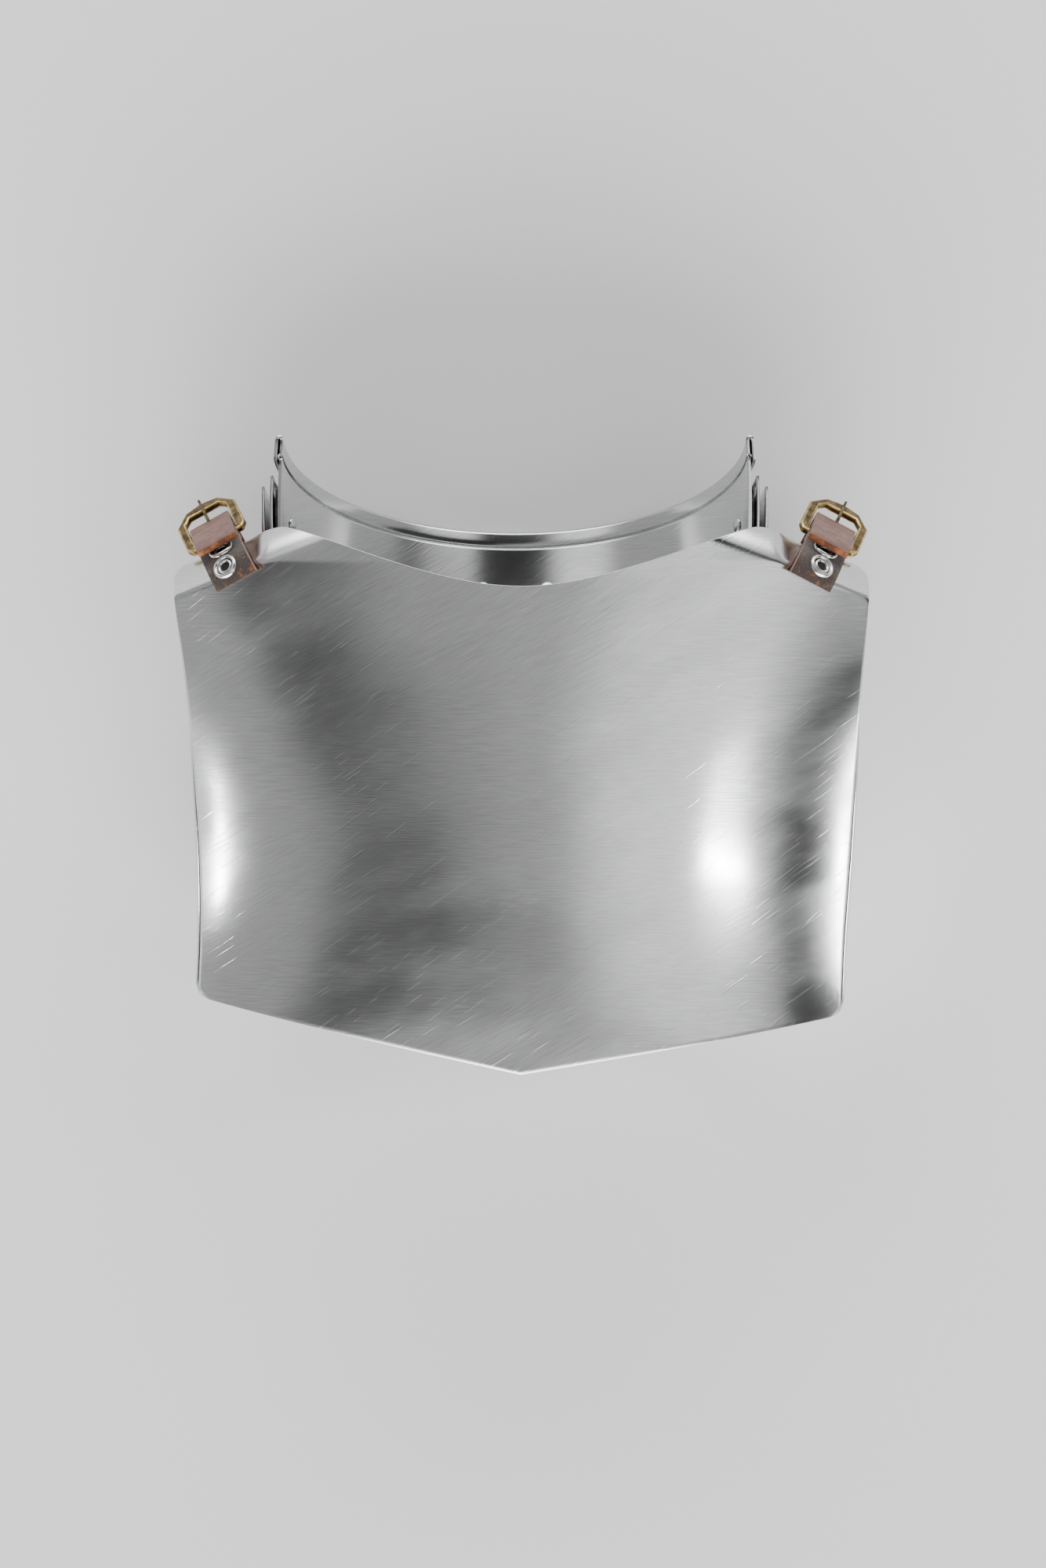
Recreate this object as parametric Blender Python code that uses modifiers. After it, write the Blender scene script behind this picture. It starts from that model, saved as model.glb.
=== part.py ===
"""Steel gorget lying closed on its back plate: two plates, a three-lame collar and two buckled shoulder straps.

Metres. +X runs to the wearer's left, +Y up towards the neck and +Z out of the chest. The flat of the back plate
is at Z = 0.
"""

import math

import bmesh
import bpy
from mathutils import Matrix, Vector
from mathutils.bvhtree import BVHTree

# Sheet, leather and running clearances
SHEET = 0.0012
GAP = 0.0003
STRAP_LEATHER = 0.0025
CHAPE_LEATHER = 0.0018
COLLAR_LEATHER = 0.0010

# Outline of the front plate
HALF_WIDTH = 0.132
SHOULDER_Y = 0.0828
LOWER_CORNER_Y = -0.085
CORNER_LEAN = 0.0036
POINT_Y = -0.109
NECK_Y = 0.074
PEAK_SHARE = 0.678
PEAK_X = PEAK_SHARE * HALF_WIDTH
PEAK_Y = 0.0982
NECK_BEND = 2.3
PEAK_SOFTNESS = 0.0012
CORNER_RADIUS = 0.005

# Half width of the plates, each side as a share of HALF_WIDTH, by share of the height from corner to shoulder
SIDE_ROWS = (
    {"height": 0.00, "left": 0.938, "right": 0.929},
    {"height": 0.15, "left": 0.930, "right": 0.938},
    {"height": 0.33, "left": 0.932, "right": 0.955},
    {"height": 0.55, "left": 0.948, "right": 0.972},
    {"height": 0.75, "left": 0.968, "right": 0.985},
    {"height": 0.88, "left": 0.985, "right": 0.993},
    {"height": 1.00, "left": 0.997, "right": 1.000},
)

# Height of the front plate above the floor, on its middle line and at its side edges
CROWN_Z = 0.098
SEAM_Z = 0.0445
DEPTH_ROWS = (
    {"height": -0.15, "crown": 0.816, "side": 1.00},
    {"height": 0.00, "crown": 0.878, "side": 1.00},
    {"height": 0.27, "crown": 0.944, "side": 1.00},
    {"height": 0.50, "crown": 0.974, "side": 1.05},
    {"height": 0.75, "crown": 0.995, "side": 1.33},
    {"height": 1.00, "crown": 1.000, "side": 1.72},
)
DOME_POWER = 2.5

# Shoulders of the front plate, rolled back over the top
ROLL_BAND = 0.013
ROLL_DEPTH = 0.031
PEAK_ROLL_SHARE = 0.38
ROLL_FROM = 0.0052
ROLL_TO = 0.015
ROLL_EDGE = 0.0006
ROLL_BEND = 1.4
ROW_CROWDING = 1.9
COLUMN_CROWDING = 0.12

# Back plate
BACK_MARGIN = 0.0013
BACK_SEAM_Z = 0.0425
FLAT_SHARE = 0.22
BACK_DOME_POWER = 2.0
BACK_SHOULDER_SHARE = 0.55
BACK_SHOULDER_Z = 0.051
BACK_CORNER_Z = 0.046
NECK_COLUMN_SHARE = 0.7
NAPE_FROM = 0.74
NAPE_BEND = 2.0
BACK_ROLL_FROM = 0.7
BACK_ROLL_BEND = 2.2
BACK_SHOULDERS_FROM = 0.45
COLUMN_DRAW = 1.6
SHOULDER_RISE_END = 0.45
SHOULDER_LEVEL_MIDDLE = 0.5
NAPE_BLEND_INSIDE = 0.25
NAPE_BLEND_OUTSIDE = 0.05
SHOULDER_LIP = 0.002
LIP_BLEND = 0.35

# Collar: half an oval that leans back from the neck
COLLAR_HALF_WIDTH = 0.0868
COLLAR_DEPTH = 0.0772
COLLAR_LEAN = math.radians(24.4)
COLLAR_Y = 0.1312
COLLAR_Z = 0.0732
COLLAR_SHIFT = -0.0022
COLLAR_FLARE = 0.10
COLLAR_END_RAKE = 0.50
LAME_STEP = 0.0032
TOP_LAME_HEIGHT = 0.033
MIDDLE_LAME_TOP = 0.013
MIDDLE_LAME_HEIGHT = 0.031
LOWER_LAME_TOP = 0.0165
LOWER_LAME_HEIGHT = 0.0315
NECK_FLANGE = 0.011
FLANGE_ROOT = LOWER_LAME_TOP + LOWER_LAME_HEIGHT
FLANGE_OUT = 2.0 * LAME_STEP + 2.0 * SHEET + 3.0 * GAP
HEM_HEIGHT = 0.008
HEM_RADIUS = 0.00165
GROOVE_DOWN = 0.0062
GROOVE_WIDTH = 0.0016
GROOVE_DEPTH = 0.0006
LEATHER_HALF_ANGLE = 0.13
LEATHER_END_SHARE = 0.86
LEATHER_TOP = 0.0175
LEATHER_BOTTOM = 0.0315

# Collar rivets
COLLAR_RIVET_SHARES = (-0.88, -0.5, -0.1, 0.1, 0.5, 0.88)
COLLAR_RIVET_DOWN = 0.0245
NECK_RIVET_SHARES = (-0.8, -0.4, 0.0, 0.4, 0.8)
NECK_RIVET_DOWN = 0.0415
COLLAR_RIVET_HEAD = 0.0027
COLLAR_RIVET_SHANK = 0.0013
COLLAR_RIVET_DOME = 0.0008

# Rivet profile: the ring half way down the dome as shares of the head, and the tail as shares of the shank
DOME_RING_OUT = 0.66
DOME_RING_UP = 0.74
TAIL_OUT = 2.0
TAIL_DOWN = 0.6

# Shoulder straps: where the pair of chape rivets sits as a share of HALF_WIDTH across and of ROLL_BAND below
# the shoulder line, how far the strap turns out from straight up, and how many strap widths before those rivets
# it meets the back plate
STRAPS = (
    {"name": "left", "across": -0.822, "below": 0.8, "turn": math.radians(29.0), "meets": 1.697},
    {"name": "right", "across": 0.838, "below": 0.76, "turn": math.radians(-28.0), "meets": 0.97},
)
STRAP_WIDTH = 0.0165
CHAPE_RIVET_SPACING = 0.0049
CHAPE_RIVET_HEAD = 0.0049
STRAP_RIVET_HEAD = 0.0042
STRAP_RIVET_SHANK = 0.0016
STRAP_RIVET_DOME = 0.0013
CHAPE_END = 0.0032
CHAPE_STOP = 0.0004
CHAPE_LIFT = 0.0016
STRAP_LIFT = 0.0014
BAR_REACH = 0.0074
BAR_SIZE = 0.0026
BUCKLE_LIFT = math.radians(25.0)
BUCKLE_OPENING = 0.0195
BUCKLE_RAIL = 0.0036
BUCKLE_THICKNESS = 0.0028
BUCKLE_POINT = 0.0015

# Corners of the buckle's outline: across as shares of its half width, along as shares of half the bar or a rail
BUCKLE_HEEL = 0.86
BUCKLE_HEEL_END = 1.4
BUCKLE_SHOULDER_BACK = 1.9
BUCKLE_NOSE = 0.56
OPENING_CORNER_BACK = 0.9
OPENING_NOSE = 0.7

PRONG_WIDTH = 0.0024
PRONG_THICKNESS = 0.0018
PRONG_RING = 0.75
PRONG_TIP = 0.6
PRONG_RING_FROM = math.radians(45.0)
PRONG_RING_SWEEP = math.radians(288.0)

# Slots for the prong, as shares of the chape's loop, the buckle's opening and the strap's leather
CHAPE_SLOT_LENGTH = 2.7
CHAPE_SLOT_DEPTH = 3.0
STRAP_SLOT_AT = 0.42
STRAP_SLOT_LENGTH = 0.62
STRAP_SLOT_DEPTH = 6.0

STRAP_TAIL = 0.0318
STRAP_TAIL_CURL = 0.0008
STRAP_BEND_RADIUS = 0.008
STRAP_DROP = 0.018
STRAP_LYING = 0.020
STRAP_RIVETS_AT = (0.006, 0.0155)
SEEK = 0.02
TANGENT_STEP = 0.0005
SETTLING = 6

STEEL = {"colour": (0.56, 0.57, 0.58), "roughness": 0.3, "metallic": 1.0}
BRASS = {"colour": (0.42, 0.33, 0.16), "roughness": 0.4, "metallic": 1.0}
NICKEL = {"colour": (0.62, 0.62, 0.6), "roughness": 0.25, "metallic": 1.0}
BROWN_LEATHER = {"colour": (0.16, 0.07, 0.04), "roughness": 0.6, "metallic": 0.0}
GREY_LEATHER = {"colour": (0.15, 0.14, 0.13), "roughness": 0.8, "metallic": 0.0}

COLLAR_LATITUDE = Vector((0.0, -math.sin(COLLAR_LEAN), -math.cos(COLLAR_LEAN)))
COLLAR_AXIS = Vector((0.0, math.cos(COLLAR_LEAN), -math.sin(COLLAR_LEAN)))


def clear_scene():
    for thing in list(bpy.data.objects):
        bpy.data.objects.remove(thing, do_unlink=True)


def collection(name):
    made = bpy.data.collections.new(name)
    bpy.context.scene.collection.children.link(made)
    return made


def material(name, look):
    made = bpy.data.materials.new(name)
    made.use_nodes = True
    shader = made.node_tree.nodes["Principled BSDF"]
    shader.inputs["Base Color"].default_value = (*look["colour"], 1.0)
    shader.inputs["Roughness"].default_value = look["roughness"]
    shader.inputs["Metallic"].default_value = look["metallic"]
    return made


def smoothstep(low, high, value):
    share = min(1.0, max(0.0, (value - low) / (high - low)))
    return share * share * (3.0 - 2.0 * share)


def along(rows, column, height):
    """Catmull-Rom reading of one column of a table at a height."""
    last = len(rows) - 1
    height = min(max(height, rows[0]["height"]), rows[last]["height"])
    i = 0
    while i < last - 1 and height > rows[i + 1]["height"]:
        i += 1
    before, low, high, after = (rows[max(0, min(last, k))] for k in (i - 1, i, i + 1, i + 2))
    span = high["height"] - low["height"]
    share = (height - low["height"]) / span
    rise_low = (high[column] - before[column]) / max(high["height"] - before["height"], 1e-9) * span
    rise_high = (after[column] - low[column]) / max(after["height"] - low["height"], 1e-9) * span
    square = share * share
    cube = square * share
    return (
        (2 * cube - 3 * square + 1) * low[column]
        + (cube - 2 * square + share) * rise_low
        + (3 * square - 2 * cube) * high[column]
        + (cube - square) * rise_high
    )


def height_share(y):
    return (y - LOWER_CORNER_Y) / (SHOULDER_Y - LOWER_CORNER_Y)


def half_width(y, side, margin=0.0):
    column = "left" if side < 0 else "right"
    return HALF_WIDTH * along(SIDE_ROWS, column, height_share(y)) + margin


def corner_drop(x, half, radius):
    """How far a rounded corner falls away from the straight edge at x."""
    into = max(0.0, abs(x) - (half - radius))
    return radius - math.sqrt(max(0.0, radius * radius - into * into))


def lower_edge(x, margin=0.0):
    half = half_width(LOWER_CORNER_Y, x, margin)
    corner = LOWER_CORNER_Y - math.copysign(CORNER_LEAN, x)
    straight = POINT_Y + (corner - POINT_Y) * abs(x) / half
    return straight + corner_drop(x, half, CORNER_RADIUS)


def shoulder_slope():
    return (SHOULDER_Y - PEAK_Y) / (HALF_WIDTH - PEAK_X)


def shoulder_line(x):
    return PEAK_Y + shoulder_slope() * (abs(x) - PEAK_X)


def neckline(x):
    rise = math.sqrt(1.0 + (NECK_BEND * x / PEAK_X) ** 2) - 1.0
    whole = math.sqrt(1.0 + NECK_BEND**2) - 1.0
    return NECK_Y + (PEAK_Y - NECK_Y) * rise / whole


def top_edge(x):
    low = neckline(x)
    high = shoulder_line(x)
    soft = math.sqrt(((low - high) / 2.0) ** 2 + PEAK_SOFTNESS**2)
    half = half_width(SHOULDER_Y, x)
    return (low + high) / 2.0 - soft - corner_drop(x, half, CORNER_RADIUS) - ROLL_EDGE


def shoulder_distance(x, y):
    """Distance of a point inside the shoulder line, square to it."""
    return (shoulder_line(x) - y) / math.sqrt(1.0 + shoulder_slope() ** 2)


def roll_drop(x, y):
    """How far the rolled shoulder falls below the domed plate."""
    into = min(1.0, max(0.0, 1.0 - shoulder_distance(x, y) / ROLL_BAND))
    fade = smoothstep(PEAK_X + ROLL_FROM, PEAK_X + ROLL_TO, abs(x))
    depth = ROLL_DEPTH * (PEAK_ROLL_SHARE + (1.0 - PEAK_ROLL_SHARE) * fade)
    return depth * (1.0 - (1.0 - into**ROLL_BEND) ** (1.0 / ROLL_BEND))


def front_height(x, y):
    """Outer face of the front plate."""
    share = height_share(y)
    crown = CROWN_Z * along(DEPTH_ROWS, "crown", share)
    side = SEAM_Z * along(DEPTH_ROWS, "side", share)
    out = min(1.0, abs(x) / half_width(y, x))
    return crown - (crown - side) * out**DOME_POWER - roll_drop(x, y)


def crowded_up(share):
    """Rows drawn up towards the shoulders, where the plates turn quickest."""
    return 1.0 - (1.0 - share) ** ROW_CROWDING


def front_point(across, up):
    """A point of the front plate's outer face for across from -1 to 1 and up from 0 to 1."""
    low_x = across * half_width(LOWER_CORNER_Y, across)
    high_x = across * half_width(SHOULDER_Y, across)
    y = lower_edge(low_x) + (top_edge(high_x) - lower_edge(low_x)) * up
    x = across * half_width(y, across)
    y = min(y, top_edge(x))
    return Vector((x, y, front_height(x, y)))


def collar_end_angle(down):
    return math.acos(min(0.99, COLLAR_END_RAKE * down / COLLAR_DEPTH))


def collar_point(share, down, out):
    """A point of the collar: share runs from end to end through the nape, down from the rim, out from the neck."""
    angle = share * collar_end_angle(down)
    grown = out + COLLAR_FLARE * down
    centre = Vector((COLLAR_SHIFT, COLLAR_Y, COLLAR_Z))
    sideways = Vector(((COLLAR_HALF_WIDTH + grown) * math.sin(angle), 0.0, 0.0))
    backward = COLLAR_LATITUDE * (COLLAR_DEPTH + grown) * math.cos(angle)
    return centre + sideways + backward - COLLAR_AXIS * down


def collar_outward(share, down):
    """Unit vector out of the collar's face."""
    step = 0.001
    here = collar_point(share, down, 0.0)
    side = collar_point(share + step, down, 0.0) - here
    below = collar_point(share, down + step, 0.0) - here
    normal = side.cross(below).normalized()
    outward = collar_point(share, down, step) - here
    return normal if normal.dot(outward) > 0.0 else -normal


def back_dome(x, y):
    """Outer face of the back plate away from its neck and shoulders, flat along the middle."""
    out = min(1.0, abs(x) / half_width(y, x, BACK_MARGIN))
    rise = max(0.0, (out - FLAT_SHARE) / (1.0 - FLAT_SHARE)) ** BACK_DOME_POWER
    upper = smoothstep(BACK_SHOULDERS_FROM, 1.0, height_share(y))
    return BACK_SEAM_Z * rise * (1.0 - (1.0 - BACK_SHOULDER_SHARE) * upper)


def back_edge(across):
    """Upper edge of the back plate: the root of the neck flange, and the shoulder edges beside it."""
    if abs(across) <= NECK_COLUMN_SHARE:
        share = across / NECK_COLUMN_SHARE
        return collar_point(share, FLANGE_ROOT, FLANGE_OUT)
    side = math.copysign(1.0, across)
    inner = collar_point(side, FLANGE_ROOT, FLANGE_OUT)
    half = half_width(SHOULDER_Y, side, BACK_MARGIN)
    share = (abs(across) - NECK_COLUMN_SHARE) / (1.0 - NECK_COLUMN_SHARE)
    x = inner.x + (side * half - inner.x) * share
    y = inner.y + (shoulder_line(x) - inner.y) * smoothstep(0.0, SHOULDER_RISE_END, share)
    level = BACK_SHOULDER_Z + (BACK_CORNER_Z - BACK_SHOULDER_Z) * smoothstep(SHOULDER_LEVEL_MIDDLE, 1.0, share)
    z = inner.z + (level - inner.z) * smoothstep(0.0, SHOULDER_LEVEL_MIDDLE, share)
    return Vector((x, y - corner_drop(x, half, CORNER_RADIUS) - ROLL_EDGE, z))


def back_point(across, up):
    """A point of the back plate's outer face, from its lower edge at up = 0 to its upper edge at 1."""
    top = back_edge(across)
    low_x = across * half_width(LOWER_CORNER_Y, across, BACK_MARGIN)
    low_y = lower_edge(low_x, BACK_MARGIN)
    y = low_y + (top.y - low_y) * up
    x = low_x + (top.x - low_x) * up**COLUMN_DRAW
    wide = across * half_width(y, across, BACK_MARGIN)
    edge_column = smoothstep(NECK_COLUMN_SHARE, 1.0, abs(across))
    x = x + (wide - x) * edge_column
    nape = max(0.0, (up - NAPE_FROM) / (1.0 - NAPE_FROM)) ** NAPE_BEND
    shoulder = max(0.0, (up - BACK_ROLL_FROM) / (1.0 - BACK_ROLL_FROM)) ** BACK_ROLL_BEND
    blend_from = NECK_COLUMN_SHARE - NAPE_BLEND_INSIDE
    blend_to = NECK_COLUMN_SHARE + NAPE_BLEND_OUTSIDE
    climb = nape + (shoulder - nape) * smoothstep(blend_from, blend_to, abs(across))
    return Vector((x, y, back_dome(x, y) + (top.z - back_dome(x, top.y)) * climb))


def flange_point(across, up):
    """The back plate's neck flange, which follows the lowest lame up from the plate."""
    return collar_point(across / NECK_COLUMN_SHARE, FLANGE_ROOT - NECK_FLANGE * up, FLANGE_OUT)


def grid_mesh(name, columns, rows, place):
    """A grid primitive whose corners are put in place by a function of two shares from 0 to 1."""
    shape = bmesh.new()
    bmesh.ops.create_grid(shape, x_segments=columns, y_segments=rows, size=0.5)
    for corner in shape.verts:
        corner.co = place(corner.co.x + 0.5, corner.co.y + 0.5)
    bmesh.ops.recalc_face_normals(shape, faces=shape.faces)
    mesh = bpy.data.meshes.new(name)
    shape.to_mesh(mesh)
    shape.free()
    return mesh


def add_object(name, mesh, into, look, smooth=True):
    made = bpy.data.objects.new(name, mesh)
    into.objects.link(made)
    if look:
        mesh.materials.append(look)
    if smooth:
        mesh.shade_smooth()
        mesh.set_sharp_from_angle(angle=math.radians(35.0))
    return made


def solidify(thing, thickness, offset=-1.0):
    wall = thing.modifiers.new("Wall", "SOLIDIFY")
    wall.thickness = thickness
    wall.offset = offset
    wall.use_even_offset = True


def facing(mesh, towards):
    """Turns a mesh's faces over unless its middle face looks along a direction."""
    total = Vector()
    for face in mesh.polygons:
        total += face.normal * face.area
    if total.dot(towards) < 0.0:
        mesh.flip_normals()


def surface_of(mesh):
    return BVHTree.FromPolygons([v.co for v in mesh.vertices], [p.vertices[:] for p in mesh.polygons])


def make_front_plate(parts, look):
    def place(column, row):
        across = crowded_sides(2.0 * column - 1.0)
        return front_point(across, crowded_up(row))

    mesh = grid_mesh("front_plate", 24, 15, place)
    facing(mesh, Vector((0.0, 0.0, 1.0)))
    plate = add_object("front_plate", mesh, parts, look)
    solidify(plate, SHEET)
    return plate


def crowded_sides(across):
    """Columns drawn out towards both side edges, where the plates turn and their corners are round."""
    return across + COLUMN_CROWDING * math.sin(math.pi * across)


def make_back_plate(parts, look):
    body_rows = 13
    flange_rows = 2
    rows = body_rows + flange_rows

    def place(column, row):
        across = crowded_sides(2.0 * column - 1.0)
        step = row * rows
        if step <= body_rows:
            return back_point(across, crowded_up(step / body_rows))
        return flange_or_lip(across, (step - body_rows) / flange_rows)

    mesh = grid_mesh("back_plate", 24, rows, place)
    facing(mesh, Vector((0.0, 0.0, -1.0)))
    plate = add_object("back_plate", mesh, parts, look)
    solidify(plate, SHEET)
    return plate


def flange_or_lip(across, up):
    """The neck flange, dying out into a short upright lip along the shoulders."""
    if abs(across) <= NECK_COLUMN_SHARE:
        return flange_point(across, up)
    lip = Vector((0.0, 0.0, SHOULDER_LIP * up))
    neck = math.copysign(NECK_COLUMN_SHARE, across)
    flange = flange_point(neck, up) - flange_point(neck, 0.0)
    fade = 1.0 - smoothstep(0.0, LIP_BLEND, (abs(across) - NECK_COLUMN_SHARE) / (1.0 - NECK_COLUMN_SHARE))
    return back_point(across, 1.0) + lip + (flange - lip) * fade


def lame_mesh(name, profile, columns):
    """A lame whose neck-side face follows a profile of (out, down) pairs, from end to end of the collar."""
    rows = len(profile) - 1

    def place(column, row):
        out, down = profile[round(row * rows)]
        return collar_point(2.0 * column - 1.0, down, out)

    return grid_mesh(name, columns, rows, place)


def top_lame_profile():
    """Up the neck side past the groove, over the rolled rim and down the outside of the hem."""
    side = [
        (0.0, TOP_LAME_HEIGHT),
        (0.0, TOP_LAME_HEIGHT * 0.6),
        (0.0, GROOVE_DOWN + GROOVE_WIDTH),
        (GROOVE_DEPTH, GROOVE_DOWN + GROOVE_WIDTH / 2.0),
        (0.0, GROOVE_DOWN),
    ]
    rim = []
    for i in range(7):
        angle = math.pi * i / 6.0
        rim.append((HEM_RADIUS * (1.0 - math.cos(angle)), HEM_RADIUS * (1.0 - math.sin(angle))))
    return side + rim + [(2.0 * HEM_RADIUS, HEM_HEIGHT)]


def make_lames(parts, look):
    profiles = {
        "collar_top_lame": top_lame_profile(),
        "collar_middle_lame": plain_profile(LAME_STEP, MIDDLE_LAME_TOP, MIDDLE_LAME_HEIGHT),
        "collar_lower_lame": plain_profile(2 * LAME_STEP, LOWER_LAME_TOP, LOWER_LAME_HEIGHT),
    }
    made = {}
    for name, profile in profiles.items():
        mesh = lame_mesh(name, profile, 20)
        inward_at_nape(mesh)
        made[name] = add_object(name, mesh, parts, look)
        solidify(made[name], SHEET)
    return made


def plain_profile(out, top, height):
    return [(out, top + height), (out, top + height / 2.0), (out, top)]


def inward_at_nape(mesh):
    """Turns a lame's faces so that its lowest row looks at the neck, with the sheet behind it."""
    def down_at_nape(face):
        return -face.center.dot(COLLAR_AXIS) - abs(face.center.x - COLLAR_SHIFT)

    lowest = max(mesh.polygons, key=down_at_nape)
    if lowest.normal.dot(collar_outward(0.0, TOP_LAME_HEIGHT)) > 0.0:
        mesh.flip_normals()


def make_collar_leathers(parts, look):
    made = []
    out = SHEET + GAP
    for name, centre in (("left", -LEATHER_END_SHARE), ("nape", 0.0), ("right", LEATHER_END_SHARE)):
        def place(column, row, centre=centre):
            share = centre + LEATHER_HALF_ANGLE * (2.0 * column - 1.0)
            down = LEATHER_TOP + (LEATHER_BOTTOM - LEATHER_TOP) * row
            return collar_point(share, down, out)

        mesh = grid_mesh(f"collar_leather_{name}", 4, 1, place)
        if mesh.polygons[0].normal.dot(collar_outward(centre, LEATHER_TOP)) > 0.0:
            mesh.flip_normals()
        piece = add_object(f"collar_leather_{name}", mesh, parts, look)
        solidify(piece, COLLAR_LEATHER)
        made.append(piece)
    return made


def rivet(name, seat, axis, grip, head, shank, dome, sides, parts, look):
    """A turned rivet: a domed head above its seat, a shank and a flat tail below the grip."""
    profile = (
        (0.0, dome),
        (head * DOME_RING_OUT, dome * DOME_RING_UP),
        (head, 0.0),
        (shank, 0.0),
        (shank, -grip),
        (shank * TAIL_OUT, -grip),
        (0.0, -grip - shank * TAIL_DOWN),
    )
    mesh = bpy.data.meshes.new(name)
    mesh.from_pydata([(r, 0.0, z) for r, z in profile], [(i, i + 1) for i in range(len(profile) - 1)], [])
    made = bpy.data.objects.new(name, mesh)
    parts.objects.link(made)
    mesh.materials.append(look)
    turn = made.modifiers.new("Turned", "SCREW")
    turn.steps = sides
    turn.render_steps = sides
    turn.use_merge_vertices = True
    turn.merge_threshold = 0.00001
    turn.use_smooth_shade = True
    made.location = seat
    made.rotation_mode = "QUATERNION"
    made.rotation_quaternion = axis.to_track_quat("Z", "Y")
    return made


def hole_cutters(name, holes, radius, cutters):
    """One cutter of round bars, each a (point, axis, half length)."""
    shape = bmesh.new()
    for point, axis, half in holes:
        turn = axis.to_track_quat("Z", "Y").to_matrix().to_4x4()
        bmesh.ops.create_cone(
            shape,
            cap_ends=True,
            segments=10,
            radius1=radius,
            radius2=radius,
            depth=2.0 * half,
            matrix=Matrix.Translation(point) @ turn,
        )
    mesh = bpy.data.meshes.new(name)
    shape.to_mesh(mesh)
    shape.free()
    made = bpy.data.objects.new(name, mesh)
    cutters.objects.link(made)
    made.hide_render = True
    made.display_type = "WIRE"
    return made


def cut(thing, cutter):
    hole = thing.modifiers.new(cutter.name, "BOOLEAN")
    hole.operation = "DIFFERENCE"
    hole.solver = "EXACT"
    hole.object = cutter


def make_collar_rivets(lames, leathers, back_plate, parts, cutters, look):
    through = []
    for i, share in enumerate(COLLAR_RIVET_SHARES, 1):
        point = collar_point(share, COLLAR_RIVET_DOWN, 0.0)
        axis = -collar_outward(share, COLLAR_RIVET_DOWN)
        grip = 2 * LAME_STEP + SHEET + 2 * GAP
        rivet(
            f"collar_rivet_{i}", point + axis * 2.0 * GAP, axis, grip + 4.0 * GAP,
            COLLAR_RIVET_HEAD, COLLAR_RIVET_SHANK, COLLAR_RIVET_DOME, 8, parts, look,
        )
        through.append((point - axis * grip / 2.0, axis, grip))
    cutter = hole_cutters("collar_rivet_holes", through, COLLAR_RIVET_SHANK + GAP, cutters)
    for thing in list(lames.values()) + leathers:
        cut(thing, cutter)
    at_neck = []
    for i, share in enumerate(NECK_RIVET_SHARES, 1):
        point = collar_point(share, NECK_RIVET_DOWN, 2 * LAME_STEP)
        axis = -collar_outward(share, NECK_RIVET_DOWN)
        grip = 2 * SHEET + 2 * GAP
        rivet(
            f"neck_rivet_{i}", point + axis * 2.0 * GAP, axis, grip + 5.0 * GAP,
            COLLAR_RIVET_HEAD, COLLAR_RIVET_SHANK, COLLAR_RIVET_DOME, 8, parts, look,
        )
        at_neck.append((point - axis * grip / 2.0, axis, grip * 1.5))
    cutter = hole_cutters("neck_rivet_holes", at_neck, COLLAR_RIVET_SHANK + GAP, cutters)
    cut(lames["collar_lower_lame"], cutter)
    cut(back_plate, cutter)


def turned(vector, angle):
    """A flat vector turned anticlockwise."""
    c = math.cos(angle)
    s = math.sin(angle)
    return Vector((vector.x * c - vector.y * s, vector.x * s + vector.y * c))


def path_normals(path):
    normals = []
    for i in range(len(path)):
        ahead = path[min(i + 1, len(path) - 1)]
        behind = path[max(i - 1, 0)]
        normals.append(turned((ahead - behind).normalized(), math.pi / 2.0))
    return normals


def beside(path, distance):
    """A path moved to its left by a distance."""
    return [point + normal * distance for point, normal in zip(path, path_normals(path))]


def fillet(before, corner, after, radius, steps=6):
    """The arc that rounds a corner of a path."""
    start = (before - corner).normalized()
    end = (after - corner).normalized()
    half = start.angle(end) / 2.0
    reach = radius / math.tan(half)
    centre = corner + (start + end).normalized() * (radius / math.sin(half))
    first = corner + start * reach - centre
    last = corner + end * reach - centre
    sweep = math.pi - 2.0 * half
    sign = 1.0 if first.x * last.y - first.y * last.x > 0.0 else -1.0
    return [centre + turned(first, sign * sweep * i / steps) for i in range(steps + 1)]


def arc(centre, start, sweep, steps):
    """Points of an arc about a centre from an arm at its start."""
    return [centre + turned(start, sweep * i / steps) for i in range(steps + 1)]


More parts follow.
